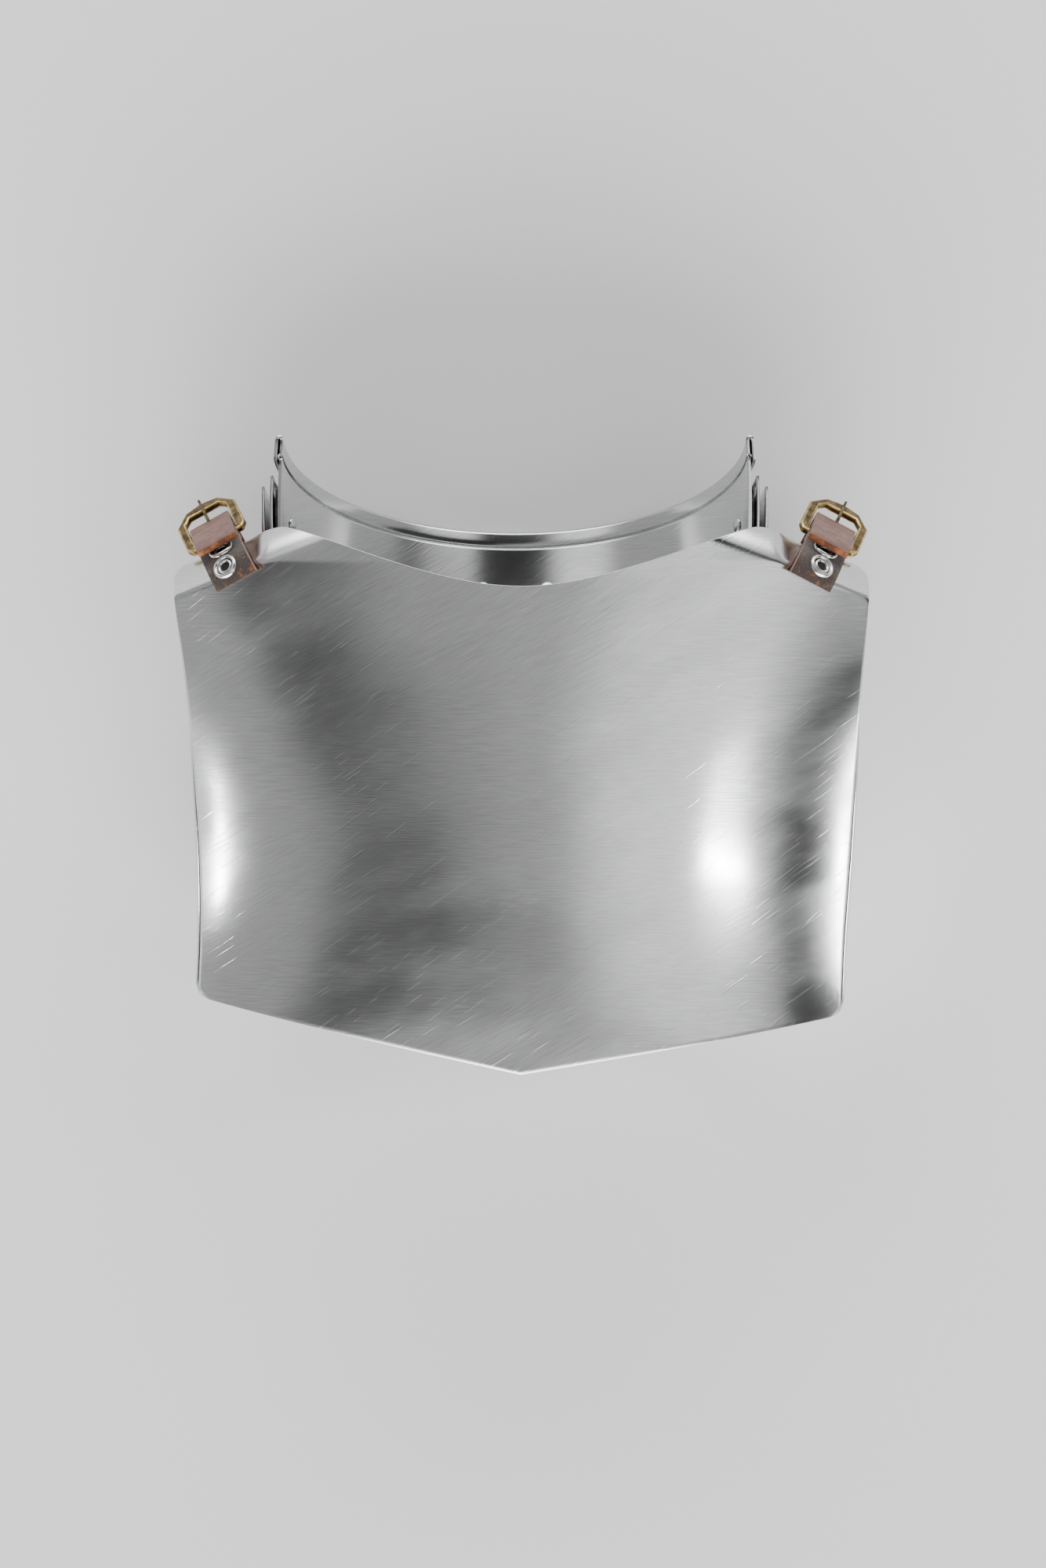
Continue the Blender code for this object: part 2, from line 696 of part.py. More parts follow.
class StrapSection:
    """The upright plane along one shoulder strap, where x is out along the strap and y is up from the floor."""

    def __init__(self, row):
        self.name = row["name"]
        self.meets = -row["meets"] * STRAP_WIDTH
        across = row["across"] * HALF_WIDTH
        self.foot = Vector((across, shoulder_line(across) - row["below"] * ROLL_BAND))
        self.heading = turned(Vector((0.0, 1.0)), row["turn"])
        upright = Matrix.Rotation(math.pi / 2.0 + row["turn"], 4, "Z") @ Matrix.Rotation(math.pi / 2.0, 4, "X")
        self.matrix = Matrix.Translation((self.foot.x, self.foot.y, 0.0)) @ upright
        self.across = self.matrix.to_3x3() @ Vector((0.0, 0.0, 1.0))

    def flat(self, along_strap):
        return self.foot + self.heading * along_strap

    def front(self, along_strap):
        spot = self.flat(along_strap)
        return Vector((along_strap, front_height(spot.x, spot.y)))

    def front_edge(self):
        """How far along the strap the front plate ends."""
        low = 0.0
        high = 0.03
        for _ in range(30):
            middle = (low + high) / 2.0
            spot = self.flat(middle)
            if spot.y < top_edge(spot.x):
                low = middle
            else:
                high = middle
        return low

    def back(self, tree, along_strap):
        spot = self.flat(along_strap)
        hit = tree.ray_cast(Vector((spot.x, spot.y, -0.1)), Vector((0.0, 0.0, 1.0)))
        return Vector((along_strap, hit[0].z))

    def front_out(self, along_strap):
        """Way out of the front plate in this plane."""
        step = self.front(along_strap + TANGENT_STEP) - self.front(along_strap - TANGENT_STEP)
        return turned(step.normalized(), math.pi / 2.0)

    def back_out(self, tree, along_strap):
        """Way out of the back plate in this plane."""
        step = self.back(tree, along_strap - TANGENT_STEP) - self.back(tree, along_strap + TANGENT_STEP)
        return turned(step.normalized(), math.pi / 2.0)

    def seat(self, tree, point, out, across, clear, lying=True):
        """A point beside the middle of the strap that is clear of a plate, or rests on it when lying."""
        way = self.direction(out)
        spot = self.world(point) + self.across * across
        hit = tree.ray_cast(spot + way * SEEK, -way, 1.5 * SEEK)[0]
        if hit:
            resting = hit + way * clear
            if lying or (resting - spot).dot(way) > 0.0:
                spot = resting
        elif lying:
            spot = spot + way * clear
        for _ in range(SETTLING):
            short = clear - tree.find_nearest(spot)[3]
            spot = spot + way * max(0.0, short)
        return spot

    def world(self, point):
        return self.matrix @ Vector((point.x, point.y, 0.0))

    def direction(self, vector):
        return (self.matrix.to_3x3() @ Vector((vector.x, vector.y, 0.0))).normalized()


def outline_piece(name, outlines, width, matrix, parts, look):
    """Closed flat outlines given a width, made a mesh so that it can be cut."""
    curve = bpy.data.curves.new(name, "CURVE")
    curve.dimensions = "2D"
    curve.fill_mode = "BOTH"
    curve.extrude = width / 2.0
    for outline in outlines:
        spline = curve.splines.new("POLY")
        spline.points.add(len(outline) - 1)
        for point, place in zip(spline.points, outline):
            point.co = (place.x, place.y, 0.0, 1.0)
        spline.use_cyclic_u = True
    drawn = bpy.data.objects.new(f"{name}_outline", curve)
    parts.objects.link(drawn)
    bpy.context.view_layer.update()
    graph = bpy.context.evaluated_depsgraph_get()
    mesh = bpy.data.meshes.new_from_object(drawn.evaluated_get(graph))
    bpy.data.objects.remove(drawn, do_unlink=True)
    shape = bmesh.new()
    shape.from_mesh(mesh)
    bmesh.ops.remove_doubles(shape, verts=shape.verts, dist=0.00001)
    bmesh.ops.recalc_face_normals(shape, faces=shape.faces)
    shape.to_mesh(mesh)
    shape.free()
    mesh.materials.clear()
    mesh.name = name
    made = add_object(name, mesh, parts, look)
    made.matrix_world = matrix
    return made


def chape_seats(section):
    """Points of the front plate under the chape, from its end to the plate's edge, with the way out of each."""
    start = -CHAPE_RIVET_SPACING / 2.0 - CHAPE_END
    end = section.front_edge() - CHAPE_STOP
    fine = [section.front(start + (end - start) * i / 60.0) for i in range(61)]
    gone = [0.0]
    for before, after in zip(fine, fine[1:]):
        gone.append(gone[-1] + (after - before).length)
    plate = []
    for i in range(10):
        wanted = gone[-1] * i / 9.0
        plate.append(min(zip(gone, fine), key=lambda pair: abs(pair[0] - wanted))[1])
    return list(zip(plate, path_normals(plate)))


def bar_place(section, seats):
    """Middle of the buckle's bar, and the way the chape heads there from the plate's edge."""
    (before, _), (last, out) = seats[-2:]
    heading = (last - before).normalized()
    middle = last + out * (CHAPE_LIFT + CHAPE_LEATHER + GAP / 2.0)
    return middle + heading * BAR_REACH, heading


def make_chape(section, front_tree, seats, bar, heading, parts, look):
    """Leather folded round the buckle's bar, both layers riveted to the plate."""
    eye = BAR_SIZE * 0.5 * math.sqrt(2.0) + GAP
    radius = eye + CHAPE_LEATHER / 2.0
    under = CHAPE_LIFT + CHAPE_LEATHER / 2.0
    over = under + CHAPE_LEATHER + GAP
    meet = math.asin((over - under) / 2.0 / radius)
    loop = arc(bar, turned(-heading * radius, meet), 2.0 * (math.pi - meet), 10)
    layer = len(seats)
    last = 2 * layer + len(loop) - 1

    def place(column, row):
        station = round(row * last)
        across = (column - 0.5) * STRAP_WIDTH
        if layer <= station < layer + len(loop):
            return section.world(loop[station - layer]) + section.across * across
        point, out = seats[min(station, last - station)]
        rise = over - under if station > layer else 0.0
        return section.seat(front_tree, point, out, across, under) + section.direction(out) * rise

    name = f"{section.name}_chape"
    chape = add_object(name, grid_mesh(name, 2, last, place), parts, look)
    solidify(chape, CHAPE_LEATHER, 0.0)
    return chape


def buckle_matrix(section, bar, heading):
    """Frame of a buckle: x from the bar to the rim, y across and z out of its face."""
    out = turned(heading, BUCKLE_LIFT)
    x_axis = section.direction(out)
    z_axis = section.direction(turned(out, math.pi / 2.0))
    y_axis = z_axis.cross(x_axis)
    turn = Matrix((x_axis, y_axis, z_axis)).transposed().to_4x4()
    return Matrix.Translation(section.world(bar)) @ turn


def mirrored(half):
    """A closed outline from its right half, listed from one end of the middle line to the other."""
    right = [Vector(point) for point in half]
    left = [Vector((x, -y)) for x, y in half[::-1] if abs(y) > 0.0]
    return right + left


def make_buckle(section, bar, heading, parts, look):
    inner = STRAP_WIDTH / 2.0 + 2.0 * GAP
    outer = inner + BUCKLE_RAIL
    bar_half = BAR_SIZE / 2.0
    reach = bar_half + BUCKLE_OPENING
    rim = reach + BUCKLE_RAIL
    outside = mirrored((
        (-bar_half, outer * BUCKLE_HEEL),
        (bar_half * BUCKLE_HEEL_END, outer),
        (rim - BUCKLE_RAIL * BUCKLE_SHOULDER_BACK, outer),
        (rim, outer * BUCKLE_NOSE),
        (rim + BUCKLE_POINT, 0.0),
    ))
    inside = mirrored((
        (bar_half, inner),
        (reach - BUCKLE_RAIL * OPENING_CORNER_BACK, inner),
        (reach, inner * OPENING_NOSE),
    ))
    matrix = buckle_matrix(section, bar, heading)
    name = f"{section.name}_buckle_frame"
    outline_piece(name, [outside, inside], BUCKLE_THICKNESS, matrix, parts, look)
    return reach


def make_prong(section, bar, heading, reach, parts, look):
    """A ring about the bar with an arm that runs up to lie on the rim."""
    out = turned(heading, BUCKLE_LIFT)
    up = turned(out, math.pi / 2.0)
    eye = BAR_SIZE * 0.5 * math.sqrt(2.0) + GAP
    ring = eye + PRONG_THICKNESS * PRONG_RING
    rest = BUCKLE_THICKNESS / 2.0 + GAP
    tip = reach + BUCKLE_RAIL + BUCKLE_POINT
    at_rim = bar + out * reach + up * rest
    over_rim = bar + out * (tip + GAP) + up * rest
    outline = [
        at_rim,
        over_rim,
        over_rim + up * PRONG_THICKNESS * PRONG_TIP,
        at_rim + up * PRONG_THICKNESS,
    ]
    outline += arc(bar, turned(out * ring, PRONG_RING_FROM), PRONG_RING_SWEEP, 9)
    hole = arc(bar, out * eye, 2.0 * math.pi * 9 / 10, 9)
    return outline_piece(f"{section.name}_prong", [outline, hole], PRONG_WIDTH, section.matrix, parts, look)


def over_bar_place(bar, heading):
    """Middle of the strap where it passes over the chape's loop."""
    loop = BAR_SIZE * 0.5 * math.sqrt(2.0) + GAP + CHAPE_LEATHER
    return bar + turned(heading, math.pi / 2.0) * (loop + GAP + STRAP_LEATHER / 2.0)


def strap_path(section, back_tree, chape, bar, heading):
    """Middle of the strap from its free end, over the bar, round the shoulder and down the back plate."""
    over_bar = over_bar_place(bar, heading)
    middle = [point + out * (CHAPE_LIFT + CHAPE_LEATHER) for point, out in chape]
    over_chape = beside(middle, (over_bar - bar).length)
    tail = [point for point in over_chape if (point - over_bar).length < STRAP_TAIL]
    curl = turned((over_bar - tail[0]).normalized(), math.pi / 2.0) * STRAP_TAIL_CURL
    tail = [point + curl * (1.0 - i / len(tail)) ** 2 for i, point in enumerate(tail)]
    steps = 5
    seats = [section.back(back_tree, section.meets - STRAP_LYING * i / steps) for i in range(steps + 1)]
    meeting = beside(seats, STRAP_LIFT + STRAP_LEATHER / 2.0)[0]
    corner = over_bar + heading * STRAP_DROP
    bend = fillet(over_bar, corner, meeting, STRAP_BEND_RADIUS)
    down = Vector((0.0, -1.0))
    free = [(point, None) for point in tail + [over_bar] + bend]
    near = [(bend[-1].lerp(meeting, share), down) for share in (0.3, 0.55, 0.8)]
    return free, near, [(seat, down) for seat in seats]


def make_strap(section, back_tree, free, near, lying, parts, look):
    """A sheet of leather, flat across where it hangs free and bent to the plate where it is riveted down."""
    stations = free + near + lying
    last = len(stations) - 1
    clear = STRAP_LIFT + STRAP_LEATHER / 2.0

    def place(column, row):
        station = round(row * last)
        across = (column - 0.5) * STRAP_WIDTH
        point, out = stations[station]
        if out is None:
            return section.world(point) + section.across * across
        return section.seat(back_tree, point, out, across, clear, station >= last + 1 - len(lying))

    name = f"{section.name}_strap"
    strap = add_object(name, grid_mesh(name, 4, last, place), parts, look)
    solidify(strap, STRAP_LEATHER, 0.0)
    return strap


def slot_cutter(name, centre, way, length, width, depth, section, cutters):
    """A box that cuts a slot through leather."""
    shape = bmesh.new()
    bmesh.ops.create_cube(shape, size=1.0)
    mesh = bpy.data.meshes.new(name)
    bmesh.ops.scale(shape, vec=(length, width, depth), verts=shape.verts)
    x_axis = section.direction(way)
    z_axis = section.direction(turned(way, math.pi / 2.0))
    turn = Matrix((x_axis, z_axis.cross(x_axis), z_axis)).transposed().to_4x4()
    bmesh.ops.transform(shape, matrix=Matrix.Translation(section.world(centre)) @ turn, verts=shape.verts)
    shape.to_mesh(mesh)
    shape.free()
    made = bpy.data.objects.new(name, mesh)
    cutters.objects.link(made)
    made.hide_render = True
    made.display_type = "WIRE"
    return made


def make_shoulder(row, plates, trees, parts, cutters, looks):
    section = StrapSection(row)
    seats = chape_seats(section)
    bar, heading = bar_place(section, seats)
    chape = make_chape(section, trees["front"], seats, bar, heading, parts, looks["brown_leather"])
    reach = make_buckle(section, bar, heading, parts, looks["brass"])
    make_prong(section, bar, heading, reach, parts, looks["brass"])
    free, near, lying = strap_path(section, trees["back"], seats, bar, heading)
    strap = make_strap(section, trees["back"], free, near, lying, parts, looks["brown_leather"])
    over_bar = over_bar_place(bar, heading)
    loop = (over_bar - bar).length
    prong_room = PRONG_WIDTH + 4.0 * GAP
    chape_slot = slot_cutter(
        f"{section.name}_chape_slot", bar, heading,
        CHAPE_SLOT_LENGTH * loop, prong_room, CHAPE_SLOT_DEPTH * loop, section, cutters,
    )
    strap_slot = slot_cutter(
        f"{section.name}_strap_slot", over_bar + heading * BUCKLE_OPENING * STRAP_SLOT_AT, heading,
        BUCKLE_OPENING * STRAP_SLOT_LENGTH, prong_room, STRAP_SLOT_DEPTH * STRAP_LEATHER, section, cutters,
    )
    chape_spots = []
    for spot in (-CHAPE_RIVET_SPACING / 2.0, CHAPE_RIVET_SPACING / 2.0):
        chape_spots.append((section.front(spot), section.front_out(spot)))
    strap_spots = []
    for down in STRAP_RIVETS_AT:
        spot = section.meets - down
        strap_spots.append((section.back(trees["back"], spot), section.back_out(trees["back"], spot)))
    nickel = looks["nickel"]
    chape_holes = rivet_pair(
        section, "chape_rivet", chape_spots, plates["front"], chape, CHAPE_RIVET_HEAD, parts, cutters, nickel
    )
    strap_holes = rivet_pair(
        section, "strap_rivet", strap_spots, plates["back"], strap, STRAP_RIVET_HEAD, parts, cutters, nickel
    )
    cut(chape, chape_slot)
    cut(strap, strap_slot)
    cut(chape, chape_holes)
    cut(strap, strap_holes)
    return chape_holes, strap_holes


def highest(tree, foot, axis, radius):
    """How far a face rises along an axis from a foot, within a radius of it."""
    beside_axis = axis.orthogonal().normalized()
    heights = []
    for i in range(9):
        arm = Matrix.Rotation(math.tau * i / 8.0, 3, axis) @ beside_axis * (radius if i < 8 else 0.0)
        hit = tree.ray_cast(foot + arm + axis * SEEK, -axis)[0]
        if hit:
            heights.append((hit - foot).dot(axis))
    return max(heights)


def rivet_pair(section, label, spots, plate, leather, head, parts, cutters, look):
    """Two rivets through a leather and the plate under it, each square to the plate."""
    outer = solid_surface(leather)
    inner = solid_surface(plate)
    bare = surface_of(plate.data)
    holes = []
    for i, (foot, way) in enumerate(spots, 1):
        world_way = section.direction(way)
        hit, axis = bare.ray_cast(section.world(foot) + world_way * SEEK, -world_way)[:2]
        top = highest(outer, hit, axis, head) + GAP
        bottom = highest(inner, hit, -axis, 2.0 * STRAP_RIVET_SHANK) + GAP
        rivet(f"{section.name}_{label}_{i}", hit + axis * top, axis, top + bottom, head,
              STRAP_RIVET_SHANK, STRAP_RIVET_DOME, 10, parts, look)
        holes.append((hit + axis * (top - bottom) / 2.0, axis, top + bottom))
    return hole_cutters(f"{section.name}_{label}_holes", holes, STRAP_RIVET_SHANK + GAP, cutters)


def solid_surface(thing):
    bpy.context.view_layer.update()
    graph = bpy.context.evaluated_depsgraph_get()
    return surface_of(thing.evaluated_get(graph).data)


def build():
    clear_scene()
    parts = collection("steel_gorget")
    cutters = collection("cutters")
    looks = {
        "steel": material("steel", STEEL),
        "brass": material("brass", BRASS),
        "nickel": material("nickel", NICKEL),
        "brown_leather": material("brown_leather", BROWN_LEATHER),
        "grey_leather": material("grey_leather", GREY_LEATHER),
    }
    front = make_front_plate(parts, looks["steel"])
    back = make_back_plate(parts, looks["steel"])
    lames = make_lames(parts, looks["steel"])
    leathers = make_collar_leathers(parts, looks["grey_leather"])
    trees = {"front": surface_of(front.data), "back": surface_of(back.data)}
    plates = {"front": front, "back": back}
    holes = [make_shoulder(row, plates, trees, parts, cutters, looks) for row in STRAPS]
    for chape_holes, strap_holes in holes:
        cut(front, chape_holes)
        cut(back, strap_holes)
    make_collar_rivets(lames, leathers, back, parts, cutters, looks["steel"])


build()
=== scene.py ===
import math

import bmesh
import bpy
from mathutils import Matrix, Vector
from mathutils.bvhtree import BVHTree


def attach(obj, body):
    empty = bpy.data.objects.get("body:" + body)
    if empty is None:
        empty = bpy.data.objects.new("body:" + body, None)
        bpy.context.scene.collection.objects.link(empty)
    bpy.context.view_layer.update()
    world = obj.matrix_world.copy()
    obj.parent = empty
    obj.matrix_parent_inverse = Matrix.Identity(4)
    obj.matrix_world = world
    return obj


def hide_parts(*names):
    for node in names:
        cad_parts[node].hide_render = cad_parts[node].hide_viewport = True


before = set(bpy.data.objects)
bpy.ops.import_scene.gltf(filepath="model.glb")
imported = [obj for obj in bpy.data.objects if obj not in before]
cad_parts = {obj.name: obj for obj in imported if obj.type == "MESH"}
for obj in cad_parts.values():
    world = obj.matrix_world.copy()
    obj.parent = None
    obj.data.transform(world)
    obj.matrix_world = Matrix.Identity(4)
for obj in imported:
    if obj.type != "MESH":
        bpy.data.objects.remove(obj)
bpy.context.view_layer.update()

# sheet and leather, metres
stock = {
    "sheet": 0.0012,
    "gap": 0.0003,
    "strapLeather": 0.0025,
    "chapeLeather": 0.0018,
    "collarLeather": 0.0010,
}

# outline shared by both plates
outline = {
    "halfWidth": 0.132,
    "shoulderY": 0.0828,
    "lowerCornerY": -0.085,
    "cornerLean": 0.0036,
    "pointY": -0.109,
    "neckY": 0.074,
    "peakX": 0.0895,
    "peakY": 0.0982,
    "neckBend": 2.3,
    "peakSoftness": 0.0012,
    "cornerRadius": 0.005,
    "sides": (
        {"height": 0.00, "left": 0.938, "right": 0.929},
        {"height": 0.15, "left": 0.930, "right": 0.938},
        {"height": 0.33, "left": 0.932, "right": 0.955},
        {"height": 0.55, "left": 0.948, "right": 0.972},
        {"height": 0.75, "left": 0.968, "right": 0.985},
        {"height": 0.88, "left": 0.985, "right": 0.993},
        {"height": 1.00, "left": 0.997, "right": 1.000},
    ),
}

frontShape = {
    "crownZ": 0.098,
    "seamZ": 0.0445,
    "domePower": 2.5,
    "rollBand": 0.013,
    "rollDepth": 0.031,
    "peakRollShare": 0.38,
    "rollFrom": 0.0052,
    "rollTo": 0.015,
    "rollEdge": 0.0006,
    "rollBend": 1.4,
    "columns": 150,
    "rows": 150,
    "rowCrowding": 1.35,
    "columnCrowding": 0.12,
    "depths": (
        {"height": -0.15, "crown": 0.816, "side": 1.00},
        {"height": 0.00, "crown": 0.878, "side": 1.00},
        {"height": 0.27, "crown": 0.944, "side": 1.00},
        {"height": 0.50, "crown": 0.974, "side": 1.05},
        {"height": 0.75, "crown": 0.995, "side": 1.33},
        {"height": 1.00, "crown": 1.000, "side": 1.72},
    ),
}

backShape = {
    "margin": 0.0013,
    "seamZ": 0.0425,
    "flatShare": 0.22,
    "domePower": 2.0,
    "shoulderShare": 0.55,
    "shouldersFrom": 0.45,
    "columnDraw": 1.6,
    "shoulderZ": 0.051,
    "cornerZ": 0.046,
    "riseEnd": 0.45,
    "levelMiddle": 0.5,
    "neckShare": 0.7,
    "blendInside": 0.25,
    "blendOutside": 0.05,
    "napeFrom": 0.74,
    "napeBend": 2.0,
    "rollFrom": 0.7,
    "rollBend": 2.2,
    "lip": 0.002,
    "lipBlend": 0.35,
    "flange": 0.011,
    "columns": 130,
    "bodyRows": 100,
    "flangeRows": 10,
}

collarShape = {
    "halfWidth": 0.0868,
    "depth": 0.0772,
    "lean": math.radians(24.4),
    "y": 0.1312,
    "z": 0.0732,
    "shift": -0.0022,
    "flare": 0.10,
    "endRake": 0.50,
    "step": 0.0032,
    "topHeight": 0.033,
    "middleTop": 0.013,
    "middleHeight": 0.031,
    "lowerTop": 0.0165,
    "lowerHeight": 0.0315,
    "hemHeight": 0.008,
    "hemRadius": 0.00165,
    "grooveDown": 0.0062,
    "grooveWidth": 0.0016,
    "grooveDepth": 0.0006,
    "columns": 140,
}
collarBack = Vector((0.0, -math.sin(collarShape["lean"]), -math.cos(collarShape["lean"])))
collarAxis = Vector((0.0, math.cos(collarShape["lean"]), -math.sin(collarShape["lean"])))
flangeRoot = collarShape["lowerTop"] + collarShape["lowerHeight"]
flangeOut = 2.0 * collarShape["step"] + 2.0 * stock["sheet"] + 3.0 * stock["gap"]


def smoothstep(low, high, value):
    share = min(1.0, max(0.0, (value - low) / (high - low)))
    return share * share * (3.0 - 2.0 * share)


def readTable(rows, column, height):
    # smooth reading of one column between the rows of a table
    last = len(rows) - 1
    height = min(max(height, rows[0]["height"]), rows[last]["height"])
    i = 0
    while i < last - 1 and height > rows[i + 1]["height"]:
        i += 1
    before, low, high, after = (rows[max(0, min(last, k))] for k in (i - 1, i, i + 1, i + 2))
    span = high["height"] - low["height"]
    share = (height - low["height"]) / span
    riseLow = (high[column] - before[column]) / max(high["height"] - before["height"], 1e-9) * span
    riseHigh = (after[column] - low[column]) / max(after["height"] - low["height"], 1e-9) * span
    square = share * share
    cube = square * share
    return (
        (2 * cube - 3 * square + 1) * low[column]
        + (cube - 2 * square + share) * riseLow
        + (3 * square - 2 * cube) * high[column]
        + (cube - square) * riseHigh
    )


def heightShare(y):
    return (y - outline["lowerCornerY"]) / (outline["shoulderY"] - outline["lowerCornerY"])


def halfWidth(y, side, margin=0.0):
    column = "left" if side < 0 else "right"
    return outline["halfWidth"] * readTable(outline["sides"], column, heightShare(y)) + margin


def cornerDrop(x, half):
    radius = outline["cornerRadius"]
    into = max(0.0, abs(x) - (half - radius))
    return radius - math.sqrt(max(0.0, radius * radius - into * into))


def lowerEdge(x, margin=0.0):
    half = halfWidth(outline["lowerCornerY"], x, margin)
    corner = outline["lowerCornerY"] + (outline["cornerLean"] if x < 0 else -outline["cornerLean"])
    straight = outline["pointY"] + (corner - outline["pointY"]) * abs(x) / half
    return straight + cornerDrop(x, half)


def shoulderSlope():
    return (outline["shoulderY"] - outline["peakY"]) / (outline["halfWidth"] - outline["peakX"])


def shoulderLine(x):
    return outline["peakY"] + shoulderSlope() * (abs(x) - outline["peakX"])


def neckline(x):
    bend = outline["neckBend"]
    rise = math.sqrt(1.0 + (bend * x / outline["peakX"]) ** 2) - 1.0
    whole = math.sqrt(1.0 + bend**2) - 1.0
    return outline["neckY"] + (outline["peakY"] - outline["neckY"]) * rise / whole


def topEdge(x):
    low = neckline(x)
    high = shoulderLine(x)
    soft = math.sqrt(((low - high) / 2.0) ** 2 + outline["peakSoftness"] ** 2)
    half = halfWidth(outline["shoulderY"], x)
    return (low + high) / 2.0 - soft - cornerDrop(x, half) - frontShape["rollEdge"]


def rollDrop(x, y):
    distance = (shoulderLine(x) - y) / math.sqrt(1.0 + shoulderSlope() ** 2)
    into = min(1.0, max(0.0, 1.0 - distance / frontShape["rollBand"]))
    peak = outline["peakX"]
    fade = smoothstep(peak + frontShape["rollFrom"], peak + frontShape["rollTo"], abs(x))
    share = frontShape["peakRollShare"]
    bend = frontShape["rollBend"]
    turn = 1.0 - (1.0 - into**bend) ** (1.0 / bend)
    return frontShape["rollDepth"] * (share + (1.0 - share) * fade) * turn


def frontHeight(x, y):
    share = heightShare(y)
    crown = frontShape["crownZ"] * readTable(frontShape["depths"], "crown", share)
    side = frontShape["seamZ"] * readTable(frontShape["depths"], "side", share)
    out = min(1.0, abs(x) / halfWidth(y, x))
    return crown - (crown - side) * out ** frontShape["domePower"] - rollDrop(x, y)


def crowdedUp(share):
    return 1.0 - (1.0 - share) ** frontShape["rowCrowding"]


def crowdedSides(across):
    return across + frontShape["columnCrowding"] * math.sin(math.pi * across)


def frontPoint(across, up):
    low = lowerEdge(across * halfWidth(outline["lowerCornerY"], across))
    high = outline["shoulderY"]
    for _ in range(5):
        high = topEdge(across * halfWidth(high, across))
    y = low + (high - low) * up
    x = across * halfWidth(y, across)
    return Vector((x, y, frontHeight(x, y)))


def collarPoint(share, down, out):
    # share from end to end through the nape, down from the rim, out from the neck
    angle = share * math.acos(min(0.99, collarShape["endRake"] * down / collarShape["depth"]))
    grown = out + collarShape["flare"] * down
    centre = Vector((collarShape["shift"], collarShape["y"], collarShape["z"]))
    sideways = Vector(((collarShape["halfWidth"] + grown) * math.sin(angle), 0.0, 0.0))
    inwards = collarBack * (collarShape["depth"] + grown) * math.cos(angle)
    return centre + sideways + inwards - collarAxis * down


def collarOutward(share, down):
    step = 0.001
    here = collarPoint(share, down, 0.0)
    side = collarPoint(share + step, down, 0.0) - here
    below = collarPoint(share, down + step, 0.0) - here
    normal = side.cross(below).normalized()
    return normal if normal.dot(collarPoint(share, down, step) - here) > 0.0 else -normal


def backDome(x, y):
    out = min(1.0, abs(x) / halfWidth(y, x, backShape["margin"]))
    flat = backShape["flatShare"]
    rise = max(0.0, (out - flat) / (1.0 - flat)) ** backShape["domePower"]
    upper = smoothstep(backShape["shouldersFrom"], 1.0, heightShare(y))
    return backShape["seamZ"] * rise * (1.0 - (1.0 - backShape["shoulderShare"]) * upper)


def backEdge(across):
    neck = backShape["neckShare"]
    if abs(across) <= neck:
        return collarPoint(across / neck, flangeRoot, flangeOut)
    side = math.copysign(1.0, across)
    inner = collarPoint(side, flangeRoot, flangeOut)
    half = halfWidth(outline["shoulderY"], side, backShape["margin"])
    share = (abs(across) - neck) / (1.0 - neck)
    x = inner.x + (side * half - inner.x) * share
    y = inner.y + (shoulderLine(x) - inner.y) * smoothstep(0.0, backShape["riseEnd"], share)
    middle = backShape["levelMiddle"]
    fall = backShape["cornerZ"] - backShape["shoulderZ"]
    level = backShape["shoulderZ"] + fall * smoothstep(middle, 1.0, share)
    z = inner.z + (level - inner.z) * smoothstep(0.0, middle, share)
    return Vector((x, y - cornerDrop(x, half) - frontShape["rollEdge"], z))


def backPoint(across, up):
    top = backEdge(across)
    lowX = across * halfWidth(outline["lowerCornerY"], across, backShape["margin"])
    lowY = lowerEdge(lowX, backShape["margin"])
    y = lowY + (top.y - lowY) * up
    x = lowX + (top.x - lowX) * up ** backShape["columnDraw"]
    wide = across * halfWidth(y, across, backShape["margin"])
    x = x + (wide - x) * smoothstep(backShape["neckShare"], 1.0, abs(across))
    nape = max(0.0, (up - backShape["napeFrom"]) / (1.0 - backShape["napeFrom"])) ** backShape["napeBend"]
    shoulder = max(0.0, (up - backShape["rollFrom"]) / (1.0 - backShape["rollFrom"])) ** backShape["rollBend"]
    blendFrom = backShape["neckShare"] - backShape["blendInside"]
    blendTo = backShape["neckShare"] + backShape["blendOutside"]
    climb = nape + (shoulder - nape) * smoothstep(blendFrom, blendTo, abs(across))
    return Vector((x, y, backDome(x, y) + (top.z - backDome(x, top.y)) * climb))


def flangePoint(across, up):
    return collarPoint(across / backShape["neckShare"], flangeRoot - backShape["flange"] * up, flangeOut)


def flangeOrLip(across, up):
    neck = backShape["neckShare"]
    if abs(across) <= neck:
        return flangePoint(across, up)
    lip = Vector((0.0, 0.0, backShape["lip"] * up))
    end = flangePoint(math.copysign(neck, across), up) - flangePoint(math.copysign(neck, across), 0.0)
    fade = 1.0 - smoothstep(0.0, backShape["lipBlend"], (abs(across) - neck) / (1.0 - neck))
    return backPoint(across, 1.0) + lip + (end - lip) * fade


def meshFrom(name, shape):
    mesh = bpy.data.meshes.new(name)
    shape.to_mesh(mesh)
    shape.free()
    return mesh


def sheetMesh(name, columns, rows, place):
    # a grid whose corners are put in place by two shares from 0 to 1, which it keeps as its UV map
    shape = bmesh.new()
    bmesh.ops.create_grid(shape, x_segments=columns, y_segments=rows, size=0.5)
    layer = shape.loops.layers.uv.new("sheet")
    for face in shape.faces:
        for corner in face.loops:
            corner[layer].uv = (corner.vert.co.x + 0.5, corner.vert.co.y + 0.5)
    for corner in shape.verts:
        corner.co = place(corner.co.x + 0.5, corner.co.y + 0.5)
    bmesh.ops.recalc_face_normals(shape, faces=shape.faces)
    return meshFrom(name, shape)


